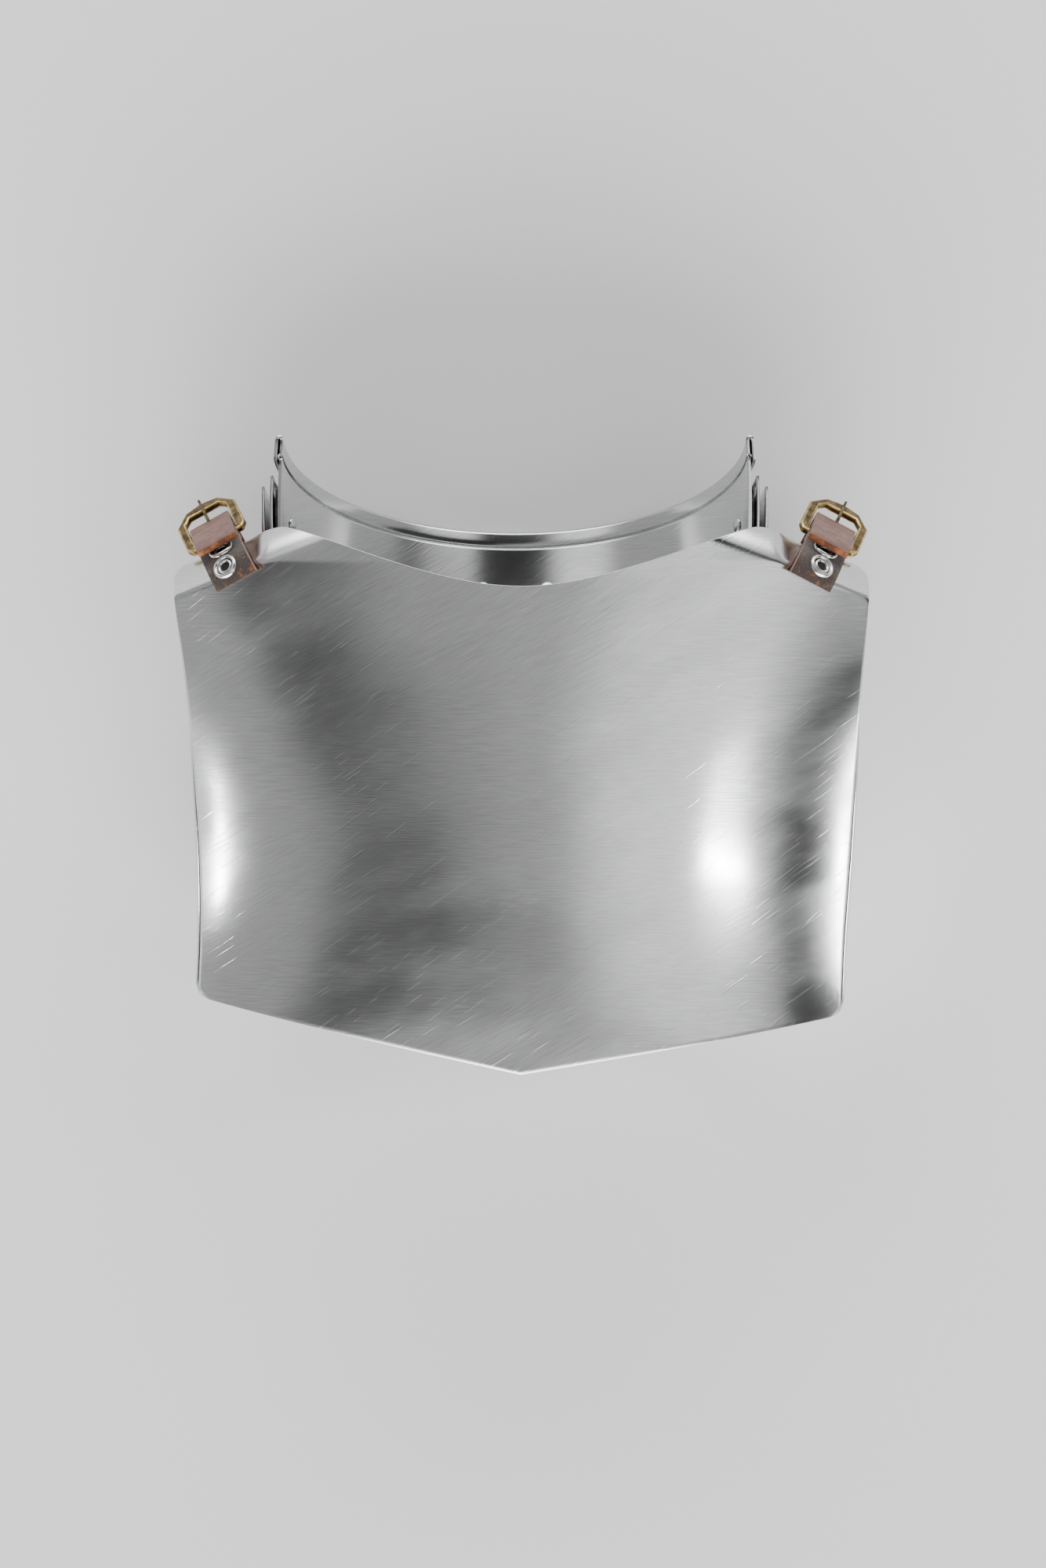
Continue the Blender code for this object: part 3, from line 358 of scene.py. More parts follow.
def addPiece(name, mesh, *looks):
    piece = bpy.data.objects.new(name, mesh)
    bpy.context.scene.collection.objects.link(piece)
    for look in looks:
        mesh.materials.append(look)
    mesh.shade_smooth()
    return piece


def faceTowards(mesh, towards):
    total = Vector()
    for face in mesh.polygons:
        total += face.normal * face.area
    if total.dot(towards) < 0.0:
        mesh.flip_normals()


def surfaceOf(mesh):
    return BVHTree.FromPolygons([v.co for v in mesh.vertices], [p.vertices[:] for p in mesh.polygons])


def giveWall(piece, thickness, offset=-1.0, rounding=0.00035, rimMaterial=0, even=True):
    wall = piece.modifiers.new("Wall", "SOLIDIFY")
    wall.thickness = thickness
    wall.offset = offset
    wall.use_even_offset = even
    wall.material_offset_rim = rimMaterial
    edge = piece.modifiers.new("Rounded edge", "BEVEL")
    edge.width = rounding
    edge.segments = 2
    edge.limit_method = "ANGLE"
    edge.angle_limit = math.radians(55.0)
    edge.harden_normals = False


def frozen(piece):
    # a plain mesh of the piece with what is live applied
    bpy.context.view_layer.update()
    graph = bpy.context.evaluated_depsgraph_get()
    return bpy.data.meshes.new_from_object(piece.evaluated_get(graph))


def settle(piece, slot, *nodes):
    # makes the piece plain and hands it to the frame
    mesh = frozen(piece)
    mesh.name = piece.name
    piece.modifiers.clear()
    piece.data = mesh
    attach(piece, "root")
    if nodes:
        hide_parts(*nodes)
    print("made", piece.name, len(mesh.polygons), "faces")


# materials
def fillInputs(tree, node, inputs):
    # each input takes the output of another node or a plain value
    for name, value in inputs.items():
        if isinstance(value, bpy.types.NodeSocket):
            tree.links.new(value, node.inputs[name])
        else:
            node.inputs[name].default_value = value


def addNode(tree, kind, inputs, **settings):
    made = tree.nodes.new(kind)
    for name, value in settings.items():
        setattr(made, name, value)
    fillInputs(tree, made, inputs)
    return made


def newMaterial(name):
    look = bpy.data.materials.new(name)
    look.use_nodes = True
    return look, look.node_tree, look.node_tree.nodes["Principled BSDF"]


def mapped(tree, scale=(1.0, 1.0, 1.0), turn=0.0, shift=0.0, kind="POINT"):
    inputs = {
        "Vector": tree.nodes.new("ShaderNodeTexCoord").outputs["Object"],
        "Location": (shift, shift, 0.0),
        "Rotation": (0.0, 0.0, turn),
        "Scale": scale,
    }
    return addNode(tree, "ShaderNodeMapping", inputs, vector_type=kind).outputs["Vector"]


def noise(tree, vector, scale, detail=4.0, roughness=0.5):
    inputs = {"Vector": vector, "Scale": scale, "Detail": detail, "Roughness": roughness}
    return addNode(tree, "ShaderNodeTexNoise", inputs).outputs["Fac"]


def ranged(tree, value, fromLow, fromHigh, toLow=0.0, toHigh=1.0, kind="LINEAR"):
    inputs = {"Value": value, "From Min": fromLow, "From Max": fromHigh, "To Min": toLow, "To Max": toHigh}
    return addNode(tree, "ShaderNodeMapRange", inputs, interpolation_type=kind).outputs["Result"]


def blend(tree, factor, first, second, kind="FLOAT"):
    inputs = {"Factor": factor, "A": first, "B": second}
    return addNode(tree, "ShaderNodeMix", inputs, data_type=kind).outputs["Result"]


def mixColour(tree, factor, *colours):
    ends = [(*colour, 1.0) if isinstance(colour, tuple) else colour for colour in colours]
    return blend(tree, factor, *ends, "RGBA")


def bumps(tree, shader, layers):
    # layers of (height, strength, distance in metres), coarse first
    normal = {}
    for height, strength, distance in layers:
        inputs = {"Height": height, "Strength": strength, "Distance": distance, **normal}
        normal = {"Normal": addNode(tree, "ShaderNodeBump", inputs).outputs["Normal"]}
    fillInputs(tree, shader, normal)


steelLook = {
    "colour": (0.66, 0.665, 0.67),
    "dull": (0.50, 0.505, 0.51),
    "strokeShare": 0.6,         # of the tone, the rest is smudges
    "strokeTone": (0.35, 0.65),
    "smudgeTone": (0.62, 0.36),
    "smudgeRange": (0.35, 0.65),
    "zoneEdge": (0.44, 0.58),
    "scratchEdge": (0.72, 0.78),
    "strokeDepth": 0.000012,
    "scratchDepth": 0.00003,
    "dentSpacing": 13.0,
    "dentDepth": 0.0016,
    # noise drawn out on the sheet: metres along, across and through, and the turn from level in degrees
    "drawn": {
        "level": {"size": (0.009, 0.00042, 0.03), "turn": 0.0, "detail": 3.0, "shift": 0.0},
        "slanted": {"size": (0.009, 0.00042, 0.03), "turn": 27.0, "detail": 3.0, "shift": 0.0},
        "zones": {"size": (0.09, 0.045, 0.2), "turn": 27.0, "detail": 1.0, "shift": 0.31},
        "smudges": {"size": (0.05, 0.022, 0.08), "turn": 21.6, "detail": 5.0, "shift": 0.17},
        "scratches": {"size": (0.014, 0.0009, 0.04), "turn": 35.1, "detail": 0.0, "shift": 0.05},
    },
}


def steelMaterial(name, roughness, dents=1.0, brushing=1.0):
    look, tree, shader = newMaterial(name)
    drawn = {}
    for kind, row in steelLook["drawn"].items():
        place = mapped(tree, row["size"], math.radians(row["turn"]), row["shift"], "TEXTURE")
        drawn[kind] = noise(tree, place, 1.0, row["detail"])
    onSlant = ranged(tree, drawn["zones"], *steelLook["zoneEdge"])
    strokes = blend(tree, onSlant, drawn["level"], drawn["slanted"])
    lines = ranged(tree, drawn["scratches"], *steelLook["scratchEdge"])
    dentNoise = noise(tree, mapped(tree, (1.0, 1.0, 0.4)), steelLook["dentSpacing"], 1.0)
    smudgeTone = ranged(tree, drawn["smudges"], *steelLook["smudgeTone"])
    strokeTone = ranged(tree, strokes, *steelLook["strokeTone"])
    tone = blend(tree, steelLook["strokeShare"], smudgeTone, strokeTone)
    fillInputs(tree, shader, {
        "Metallic": 1.0,
        "Roughness": ranged(tree, drawn["smudges"], *steelLook["smudgeRange"], *roughness),
        "Base Color": mixColour(tree, tone, steelLook["dull"], steelLook["colour"]),
    })
    bumps(tree, shader, (
        (dentNoise, 1.0, steelLook["dentDepth"] * dents),
        (strokes, 1.0, steelLook["strokeDepth"] * brushing),
        (lines, 0.5, steelLook["scratchDepth"] * brushing),
    ))
    return look


leatherLook = {
    "face": (0.11, 0.042, 0.027),
    "faceWorn": (0.19, 0.083, 0.060),
    "edge": (0.30, 0.095, 0.026),
    "edgeDark": (0.13, 0.038, 0.011),
    "suede": (0.028, 0.014, 0.009),
    "suedeFuzz": (0.16, 0.060, 0.019),
    "grey": (0.12, 0.11, 0.105),
    "greyDark": (0.04, 0.037, 0.034),
}


def leatherMaterial(name, first, second, roughness, grain, depth, sheen=0.0, speck=(0.42, 0.62)):
    look, tree, shader = newMaterial(name)
    place = mapped(tree)
    coarse = noise(tree, place, grain * 0.22, 4.0, 0.6)
    fine = noise(tree, place, grain, 5.0, 0.65)
    cells = addNode(tree, "ShaderNodeTexVoronoi", {"Vector": place, "Scale": grain * 0.8})
    fillInputs(tree, shader, {
        "Base Color": mixColour(tree, ranged(tree, coarse, *speck), first, second),
        "Roughness": ranged(tree, fine, 0.3, 0.7, roughness - 0.08, roughness + 0.1),
        "Sheen Weight": sheen,
        "Specular IOR Level": 0.4,
    })
    bumps(tree, shader, ((cells.outputs["Distance"], 0.6, depth), (fine, 0.8, depth)))
    return look


brassLook = {
    "face": {"bright": (0.18, 0.13, 0.062), "dark": (0.036, 0.028, 0.016), "roughness": 0.36},
    "worn": {"bright": (0.70, 0.49, 0.18), "dark": (0.28, 0.19, 0.07), "roughness": 0.24},
}


def brassMaterial(name, look):
    made, tree, shader = newMaterial(name)
    place = mapped(tree)
    patina = noise(tree, place, 240.0, 5.0, 0.6)
    fillInputs(tree, shader, {
        "Metallic": 1.0,
        "Base Color": mixColour(tree, ranged(tree, patina, 0.36, 0.62), look["dark"], look["bright"]),
        "Roughness": ranged(tree, patina, 0.3, 0.7, look["roughness"] + 0.14, look["roughness"]),
    })
    bumps(tree, shader, ((noise(tree, place, 420.0, 3.0), 0.5, 0.00006),))
    return made


# the near-black colour of the rivet's hollow middle is painted shade, with some dark patina
nickelLook = {"ring": (0.74, 0.74, 0.72), "worn": (0.56, 0.56, 0.54), "sunk": (0.03, 0.028, 0.026)}


def nickelMaterial():
    look, tree, shader = newMaterial("wornNickel")
    wear = noise(tree, mapped(tree), 300.0, 4.0)
    # the hollow middle of each rivet gets the near-black colour as painted shade, partly dark patina
    sunk = addNode(tree, "ShaderNodeAttribute", {}, attribute_name="sunk").outputs["Fac"]
    ring = mixColour(tree, ranged(tree, wear, 0.4, 0.6), nickelLook["worn"], nickelLook["ring"])
    fillInputs(tree, shader, {
        "Metallic": 1.0,
        "Base Color": mixColour(tree, sunk, ring, nickelLook["sunk"]),
        "Roughness": ranged(tree, sunk, 0.0, 1.0, 0.18, 0.5),
    })
    bumps(tree, shader, ((wear, 0.3, 0.00002),))
    return look


plateSteel = steelMaterial("satinSteel", (0.17, 0.27))
lameSteel = steelMaterial("collarSteel", (0.14, 0.22), dents=0.3, brushing=0.6)
strapFace = leatherMaterial("strapFace", leatherLook["face"], leatherLook["faceWorn"],
                            roughness=0.42, grain=900.0, depth=0.0001)
strapEdge = leatherMaterial("strapCutEdge", leatherLook["edgeDark"], leatherLook["edge"],
                            roughness=0.75, grain=1400.0, depth=0.00015, sheen=0.2)
chapeSuede = leatherMaterial("chapeSuede", leatherLook["suede"], leatherLook["suedeFuzz"],
                             roughness=0.85, grain=1500.0, depth=0.00025, sheen=0.5, speck=(0.55, 0.72))
greyLeather = leatherMaterial("greyLeather", leatherLook["greyDark"], leatherLook["grey"],
                              roughness=0.85, grain=1200.0, depth=0.0003)
antiqueBrass = brassMaterial("antiqueBrass", brassLook["face"])
wornBrass = brassMaterial("wornBrass", brassLook["worn"])
wornNickel = nickelMaterial()
print("materials ready")


# plates
def makePlates():
    frontMesh = sheetMesh("frontPlate", frontShape["columns"], frontShape["rows"],
                          lambda u, v: frontPoint(crowdedSides(2.0 * u - 1.0), crowdedUp(v)))
    faceTowards(frontMesh, Vector((0.0, 0.0, 1.0)))

    rows = backShape["bodyRows"] + backShape["flangeRows"]

    def placeBack(u, v):
        across = crowdedSides(2.0 * u - 1.0)
        step = v * rows
        if step <= backShape["bodyRows"]:
            return backPoint(across, crowdedUp(step / backShape["bodyRows"]))
        return flangeOrLip(across, (step - backShape["bodyRows"]) / backShape["flangeRows"])

    backMesh = sheetMesh("backPlate", backShape["columns"], rows, placeBack)
    faceTowards(backMesh, Vector((0.0, 0.0, -1.0)))
    surfaces = {"front": surfaceOf(frontMesh), "back": surfaceOf(backMesh)}
    for name, mesh, node in (("frontPlate", frontMesh, "front_plate"), ("backPlate", backMesh, "back_plate")):
        plate = addPiece(name, mesh, plateSteel)
        giveWall(plate, stock["sheet"], rounding=0.00022, even=False)
        settle(plate, "steel", node)
    return surfaces


def topLameProfile():
    # (out, down) up the neck side past the groove, over the rolled rim and down the hem
    points = [(0.0, collarShape["topHeight"] * (1.0 - i / 12.0 * 0.75)) for i in range(13)]
    points = [p for p in points if p[1] > collarShape["grooveDown"] + collarShape["grooveWidth"] * 1.2]
    for i in range(9):
        share = i / 8.0
        dip = collarShape["grooveDepth"] * 0.5 * (1.0 - math.cos(2.0 * math.pi * share))
        points.append((dip, collarShape["grooveDown"] + collarShape["grooveWidth"] * (1.0 - share)))
    radius = collarShape["hemRadius"]
    points.append((0.0, (collarShape["grooveDown"] + radius) / 2.0))
    for i in range(17):
        angle = math.pi * i / 16.0
        points.append((radius * (1.0 - math.cos(angle)), radius * (1.0 - math.sin(angle))))
    points += [(2.0 * radius, collarShape["hemHeight"] * share) for share in (0.5, 0.8, 1.0)]
    return points


def plainProfile(out, top, height):
    return [(out, top + height * (1.0 - i / 10.0)) for i in range(11)]


def nearNape(face):
    return -face.center.dot(collarAxis) - abs(face.center.x - collarShape["shift"])


def makeLames():
    profiles = (
        ("collarTopLame", "collar_top_lame", topLameProfile()),
        ("collarMiddleLame", "collar_middle_lame",
         plainProfile(collarShape["step"], collarShape["middleTop"], collarShape["middleHeight"])),
        ("collarLowerLame", "collar_lower_lame",
         plainProfile(2.0 * collarShape["step"], collarShape["lowerTop"], collarShape["lowerHeight"])),
    )
    for name, node, profile in profiles:
        last = len(profile) - 1

        def place(u, v):
            out, down = profile[round(v * last)]
            return collarPoint(2.0 * u - 1.0, down, out)

        mesh = sheetMesh(name, collarShape["columns"], last, place)
        nape = max(mesh.polygons, key=nearNape)
        if nape.normal.dot(collarOutward(0.0, collarShape["topHeight"])) > 0.0:
            mesh.flip_normals()
        lame = addPiece(name, mesh, lameSteel)
        giveWall(lame, stock["sheet"])
        settle(lame, "steel", node)


collarLeathers = {"halfAngle": 0.13, "endShare": 0.86, "top": 0.0175, "bottom": 0.0315}


def makeCollarLeathers():
    end = collarLeathers["endShare"]
    for side, centre in (("left", -end), ("nape", 0.0), ("right", end)):
        def place(u, v):
            share = centre + collarLeathers["halfAngle"] * (2.0 * u - 1.0)
            down = collarLeathers["top"] + (collarLeathers["bottom"] - collarLeathers["top"]) * v
            return collarPoint(share, down, stock["sheet"] + stock["gap"])

        name = "collarLeather" + side.capitalize()
        mesh = sheetMesh(name, 24, 12, place)
        if mesh.polygons[0].normal.dot(collarOutward(centre, collarLeathers["top"])) > 0.0:
            mesh.flip_normals()
        leather = addPiece(name, mesh, greyLeather)
        giveWall(leather, stock["collarLeather"])
        settle(leather, "grey_leather", f"collar_leather_{side}")


surfaces = makePlates()
makeLames()
makeCollarLeathers()
print("plates and collar ready")


# rivets
rivetShape = {
    "steps": 32,
    "collarHead": 0.0027,
    "chapeHead": 0.0049,
    "strapHead": 0.0042,
    # below and within these shares the rivet's hollow middle is marked for the nickel's painted shade
    "shadedHollowBelow": 0.1,       # shares of the head radius
    "shadedHollowWithin": 0.9,
    "seek": 0.02,
    "lift": 0.00015,
}


def turnedMesh(name, profile, steps):
    shape = bmesh.new()
    corners = [shape.verts.new((r, 0.0, z)) for r, z in profile]
    edges = [shape.edges.new(pair) for pair in zip(corners, corners[1:])]
    bmesh.ops.spin(shape, geom=corners + edges, cent=(0, 0, 0), axis=(0, 0, 1), angle=math.tau, steps=steps,
                   use_duplicate=False)
    bmesh.ops.remove_doubles(shape, verts=shape.verts, dist=0.000001)
    bmesh.ops.recalc_face_normals(shape, faces=shape.faces)
    mesh = meshFrom(name, shape)
    mesh.shade_smooth()
    # marks the hollow middle, which the nickel paints near black as shade
    sunk = mesh.attributes.new("sunk", "FLOAT", "POINT")
    low = rivetShape["shadedHollowBelow"]
    wide = rivetShape["shadedHollowWithin"]
    values = [1.0 if v.co.xy.length < wide and v.co.z < low else 0.0 for v in mesh.vertices]
    sunk.data.foreach_set("value", values)
    return mesh


def ringedProfile():
    # a tubular rivet: rolled ring round a sunk middle, unit head radius, z up
    ring = [(0.0, 0.04), (0.30, 0.05)]
    for middle, width, base, height in ((0.50, 0.11, 0.05, 0.14), (0.84, 0.16, 0.03, 0.24)):
        for i in range(9):
            angle = math.pi * i / 8.0
            ring.append((middle - width * math.cos(angle), base + height * math.sin(angle)))
    return ring + [(1.0, 0.0), (0.36, 0.0), (0.36, -0.9), (0.0, -0.9)]


def domedProfile():
    dome = [(math.sin(math.pi / 2.0 * i / 8.0), 0.3 * math.cos(math.pi / 2.0 * i / 8.0)) for i in range(9)]
    return dome + [(1.0, -0.02), (0.45, -0.02), (0.45, -1.0), (0.0, -1.0)]


def rivetTree():
    tree = bpy.data.node_groups.new("RivetsOnSeats", "GeometryNodeTree")
    tree.interface.new_socket("Seats", in_out="INPUT", socket_type="NodeSocketGeometry")
    tree.interface.new_socket("Rivet", in_out="INPUT", socket_type="NodeSocketObject")
    tree.interface.new_socket("Head radius", in_out="INPUT", socket_type="NodeSocketFloat")
    tree.interface.new_socket("Finish", in_out="INPUT", socket_type="NodeSocketMaterial")
    tree.interface.new_socket("Rivets", in_out="OUTPUT", socket_type="NodeSocketGeometry")
    given = tree.nodes.new("NodeGroupInput").outputs
    source = addNode(tree, "GeometryNodeObjectInfo", {"Object": given["Rivet"]})
    axis = addNode(tree, "GeometryNodeInputNamedAttribute", {"Name": "axis"}, data_type="FLOAT_VECTOR")
    turn = addNode(tree, "FunctionNodeAlignRotationToVector", {"Vector": axis.outputs["Attribute"]}, axis="Z")
    spread = addNode(tree, "GeometryNodeInstanceOnPoints", {
        "Points": given["Seats"],
        "Instance": source.outputs["Geometry"],
        "Rotation": turn.outputs["Rotation"],
        "Scale": given["Head radius"],
    })
    realized = addNode(tree, "GeometryNodeRealizeInstances", {"Geometry": spread.outputs["Instances"]})
    finish = addNode(tree, "GeometryNodeSetMaterial", {
        "Geometry": realized.outputs["Geometry"],
        "Material": given["Finish"],
    })
    addNode(tree, "NodeGroupOutput", {"Rivets": finish.outputs["Geometry"]})
    return tree


def rivetObject(name, profile):
    return bpy.data.objects.new(name, turnedMesh(name, profile, rivetShape["steps"]))


rivets = {
    "tree": rivetTree(),
    "ringed": rivetObject("ringedRivet", ringedProfile()),
    "domed": rivetObject("domedRivet", domedProfile()),
}


def placeRivets(name, seats, kind, head, finish, slot, nodeNames):
    mesh = bpy.data.meshes.new(name)
    mesh.from_pydata([point for point, way in seats], [], [])
    ways = mesh.attributes.new("axis", "FLOAT_VECTOR", "POINT")
    ways.data.foreach_set("vector", [number for point, way in seats for number in way])
    piece = bpy.data.objects.new(name, mesh)
    bpy.context.scene.collection.objects.link(piece)
    spread = piece.modifiers.new("Rivets", "NODES")
    spread.node_group = rivets["tree"]
    inputs = [item for item in rivets["tree"].interface.items_tree if item.in_out == "INPUT"]
    sockets = {item.name: item.identifier for item in inputs}
    spread[sockets["Rivet"]] = rivets[kind]
    spread[sockets["Head radius"]] = head
    spread[sockets["Finish"]] = finish
    settle(piece, slot, *nodeNames)


collarRivets = {
    "lameShares": (-0.88, -0.5, -0.1, 0.1, 0.5, 0.88),
    "lameDown": 0.0245,
    "neckShares": (-0.8, -0.4, 0.0, 0.4, 0.8),
    "neckDown": 0.0415,
}


def makeCollarRivets():
    seats = []
    names = []
    for i, share in enumerate(collarRivets["lameShares"], 1):
        outward = collarOutward(share, collarRivets["lameDown"])
        seats.append((collarPoint(share, collarRivets["lameDown"], 0.0) - outward * stock["gap"], -outward))
        names.append(f"collar_rivet_{i}")
    for i, share in enumerate(collarRivets["neckShares"], 1):
        outward = collarOutward(share, collarRivets["neckDown"])
        inside = collarPoint(share, collarRivets["neckDown"], 2.0 * collarShape["step"])
        seats.append((inside - outward * stock["gap"], -outward))
        names.append(f"neck_rivet_{i}")
    placeRivets("collarRivets", seats, "domed", rivetShape["collarHead"], lameSteel, "steel", names)


makeCollarRivets()
print("collar rivets ready")


# shoulder straps
strapShape = {
    "width": 0.0165,
    "chapeSpacing": 0.0049,
    "chapeEnd": 0.0032,
    "chapeStop": 0.0004,
    "chapeLift": 0.0016,
    "strapLift": 0.0014,
    "barReach": 0.0074,
    "barSize": 0.0026,
    "buckleLift": math.radians(25.0),
    "buckleOpening": 0.0195,
    "buckleRail": 0.0036,
    "buckleThickness": 0.0028,
    "bucklePoint": 0.0015,
    "buckleChamfer": 0.0007,
    "prongThickness": 0.0018,
    "prongRound": 0.42,             # shares of the prong's thickness
    "prongRest": 0.45,
    "prongTaper": 0.35,
    "ringFrom": 0.35 * math.pi,
    "ringSweep": 1.55 * math.pi,
    "tail": 0.0318,
    "tailCurl": 0.0008,
    "bendRadius": 0.008,
    "drop": 0.018,
    "lying": 0.020,
    "rivetsAt": (0.006, 0.0155),
    "feel": 0.0005,                 # how far off the slope under a rivet is felt
    "columns": 12,
    "sides": (
        {"name": "left", "across": -0.822, "below": 0.8, "turn": math.radians(29.0), "meets": 1.697},
        {"name": "right", "across": 0.838, "below": 0.76, "turn": math.radians(-28.0), "meets": 0.97},
    ),
}


def turned(vector, angle):
    c = math.cos(angle)
    s = math.sin(angle)
    return Vector((vector.x * c - vector.y * s, vector.x * s + vector.y * c))


def pathNormals(path):
    normals = []
    for i in range(len(path)):
        ahead = path[min(i + 1, len(path) - 1)]
        behind = path[max(i - 1, 0)]
        normals.append(turned((ahead - behind).normalized(), math.pi / 2.0))
    return normals


def beside(path, distance):
    return [point + normal * distance for point, normal in zip(path, pathNormals(path))]


def fillet(before, corner, after, radius, steps):
    start = (before - corner).normalized()
    end = (after - corner).normalized()
    half = start.angle(end) / 2.0
    reach = radius / math.tan(half)
    centre = corner + (start + end).normalized() * (radius / math.sin(half))
    first = corner + start * reach - centre
    last = corner + end * reach - centre
    sweep = math.pi - 2.0 * half
    sign = 1.0 if first.x * last.y - first.y * last.x > 0.0 else -1.0
    return [centre + turned(first, sign * sweep * i / steps) for i in range(steps + 1)]


def arc(centre, start, sweep, steps):
    return [centre + turned(start, sweep * i / steps) for i in range(steps + 1)]


class StrapSection:
    # the upright plane along one strap: x out along the strap, y up from the floor
    def __init__(self, row):
        self.name = row["name"]
        self.meets = -row["meets"] * strapShape["width"]
        across = row["across"] * outline["halfWidth"]
        self.foot = Vector((across, shoulderLine(across) - row["below"] * frontShape["rollBand"]))
        self.heading = turned(Vector((0.0, 1.0)), row["turn"])
        quarter = math.pi / 2.0
        upright = Matrix.Rotation(quarter + row["turn"], 4, "Z") @ Matrix.Rotation(quarter, 4, "X")
        self.matrix = Matrix.Translation((self.foot.x, self.foot.y, 0.0)) @ upright
        self.across = self.matrix.to_3x3() @ Vector((0.0, 0.0, 1.0))

    def flat(self, along):
        return self.foot + self.heading * along

    def front(self, along):
        spot = self.flat(along)
        return Vector((along, frontHeight(spot.x, spot.y)))

    def frontEdge(self):
        low = 0.0
        high = 0.03
        for _ in range(30):
            middle = (low + high) / 2.0
            spot = self.flat(middle)
            if spot.y < topEdge(spot.x):
                low = middle
            else:
                high = middle
        return low

    def back(self, along):
        spot = self.flat(along)
        hit = surfaces["back"].ray_cast(Vector((spot.x, spot.y, -0.1)), Vector((0.0, 0.0, 1.0)))
        return Vector((along, hit[0].z))

    def seat(self, tree, point, out, across, clear, lying=True):
        way = self.direction(out)
        spot = self.world(point) + self.across * across
        hit = tree.ray_cast(spot + way * rivetShape["seek"], -way, 1.5 * rivetShape["seek"])[0]
        if hit:
            resting = hit + way * clear
            if lying or (resting - spot).dot(way) > 0.0:
                spot = resting
        elif lying:
            spot = spot + way * clear
        for _ in range(6):
            spot = spot + way * max(0.0, clear - tree.find_nearest(spot)[3])
        return spot

    def world(self, point):
        return self.matrix @ Vector((point.x, point.y, 0.0))

    def direction(self, vector):
        return (self.matrix.to_3x3() @ Vector((vector.x, vector.y, 0.0))).normalized()


def evenly(path, count):
    # a path walked again with evenly spaced points
    gone = [0.0]
    for before, after in zip(path, path[1:]):
        gone.append(gone[-1] + (after - before).length)
    walked = []
    for i in range(count):
        wanted = gone[-1] * i / (count - 1)
        k = max(j for j in range(len(gone)) if gone[j] <= wanted + 1e-9)
        k = min(k, len(path) - 2)
        span = gone[k + 1] - gone[k]
        walked.append(path[k].lerp(path[k + 1], (wanted - gone[k]) / span if span else 0.0))
    return walked


def chapeSeats(section, count):
    start = -strapShape["chapeSpacing"] / 2.0 - strapShape["chapeEnd"]
    end = section.frontEdge() - strapShape["chapeStop"]
    fine = [section.front(start + (end - start) * i / 120.0) for i in range(121)]
    plate = evenly(fine, count)
    return list(zip(plate, pathNormals(plate)))


def barPlace(seats):
    before = seats[-4][0]
    last, out = seats[-1]
    heading = (last - before).normalized()
    middle = last + out * (strapShape["chapeLift"] + stock["chapeLeather"] + stock["gap"] / 2.0)
    return middle + heading * strapShape["barReach"], heading


def makeChape(section, seats, bar, heading):
    eye = strapShape["barSize"] * 0.5 * math.sqrt(2.0) + stock["gap"]
    radius = eye + stock["chapeLeather"] / 2.0
    under = strapShape["chapeLift"] + stock["chapeLeather"] / 2.0
    over = under + stock["chapeLeather"] + stock["gap"]
    meet = math.asin((over - under) / 2.0 / radius)
    loop = arc(bar, turned(-heading * radius, meet), 2.0 * (math.pi - meet), 28)
    layer = len(seats)
    last = 2 * layer + len(loop) - 1

    def place(u, v):
        station = round(v * last)
        across = (u - 0.5) * strapShape["width"]
        if layer <= station < layer + len(loop):
            return section.world(loop[station - layer]) + section.across * across
        point, out = seats[min(station, last - station)]
        rise = over - under if station > layer else 0.0
        return section.seat(surfaces["front"], point, out, across, under) + section.direction(out) * rise

    name = section.name + "Chape"
    chape = addPiece(name, sheetMesh(name, strapShape["columns"], last, place), chapeSuede, strapEdge)
    giveWall(chape, stock["chapeLeather"], offset=0.0, rounding=0.0003, rimMaterial=1)
    return chape


def overBarPlace(bar, heading):
    loop = strapShape["barSize"] * 0.5 * math.sqrt(2.0) + stock["gap"] + stock["chapeLeather"]
    return bar + turned(heading, math.pi / 2.0) * (loop + stock["gap"] + stock["strapLeather"] / 2.0)


def makeStrap(section, seats, bar, heading):
    overBar = overBarPlace(bar, heading)
    middle = [point + out * (strapShape["chapeLift"] + stock["chapeLeather"]) for point, out in seats]
    overChape = beside(middle, (overBar - bar).length)
    tail = [point for point in overChape if (point - overBar).length < strapShape["tail"]]
    curl = turned((overBar - tail[0]).normalized(), math.pi / 2.0) * strapShape["tailCurl"]
    tail = [point + curl * (1.0 - i / len(tail)) ** 2 for i, point in enumerate(tail)]
    steps = 16
    lying = [section.back(section.meets - strapShape["lying"] * i / steps) for i in range(steps + 1)]
    meeting = beside(lying, strapShape["strapLift"] + stock["strapLeather"] / 2.0)[0]
    corner = overBar + heading * strapShape["drop"]
    bend = fillet(overBar, corner, meeting, strapShape["bendRadius"], 14)
    down = Vector((0.0, -1.0))
    free = evenly(tail + [overBar] + bend, 60)
    near = [bend[-1].lerp(meeting, i / 12.0) for i in range(1, 12)]
    stations = [(point, None) for point in free] + [(point, down) for point in near + lying]
    last = len(stations) - 1
    clear = strapShape["strapLift"] + stock["strapLeather"] / 2.0

    def place(u, v):
        station = round(v * last)
        across = (u - 0.5) * strapShape["width"]
        point, out = stations[station]
        if out is None:
            return section.world(point) + section.across * across
        return section.seat(surfaces["back"], point, out, across, clear, station > last - len(lying))

    name = section.name + "Strap"
    strap = addPiece(name, sheetMesh(name, strapShape["columns"], last, place), strapFace, strapEdge)
    giveWall(strap, stock["strapLeather"], offset=0.0, rounding=0.0004, rimMaterial=1)
    return strap


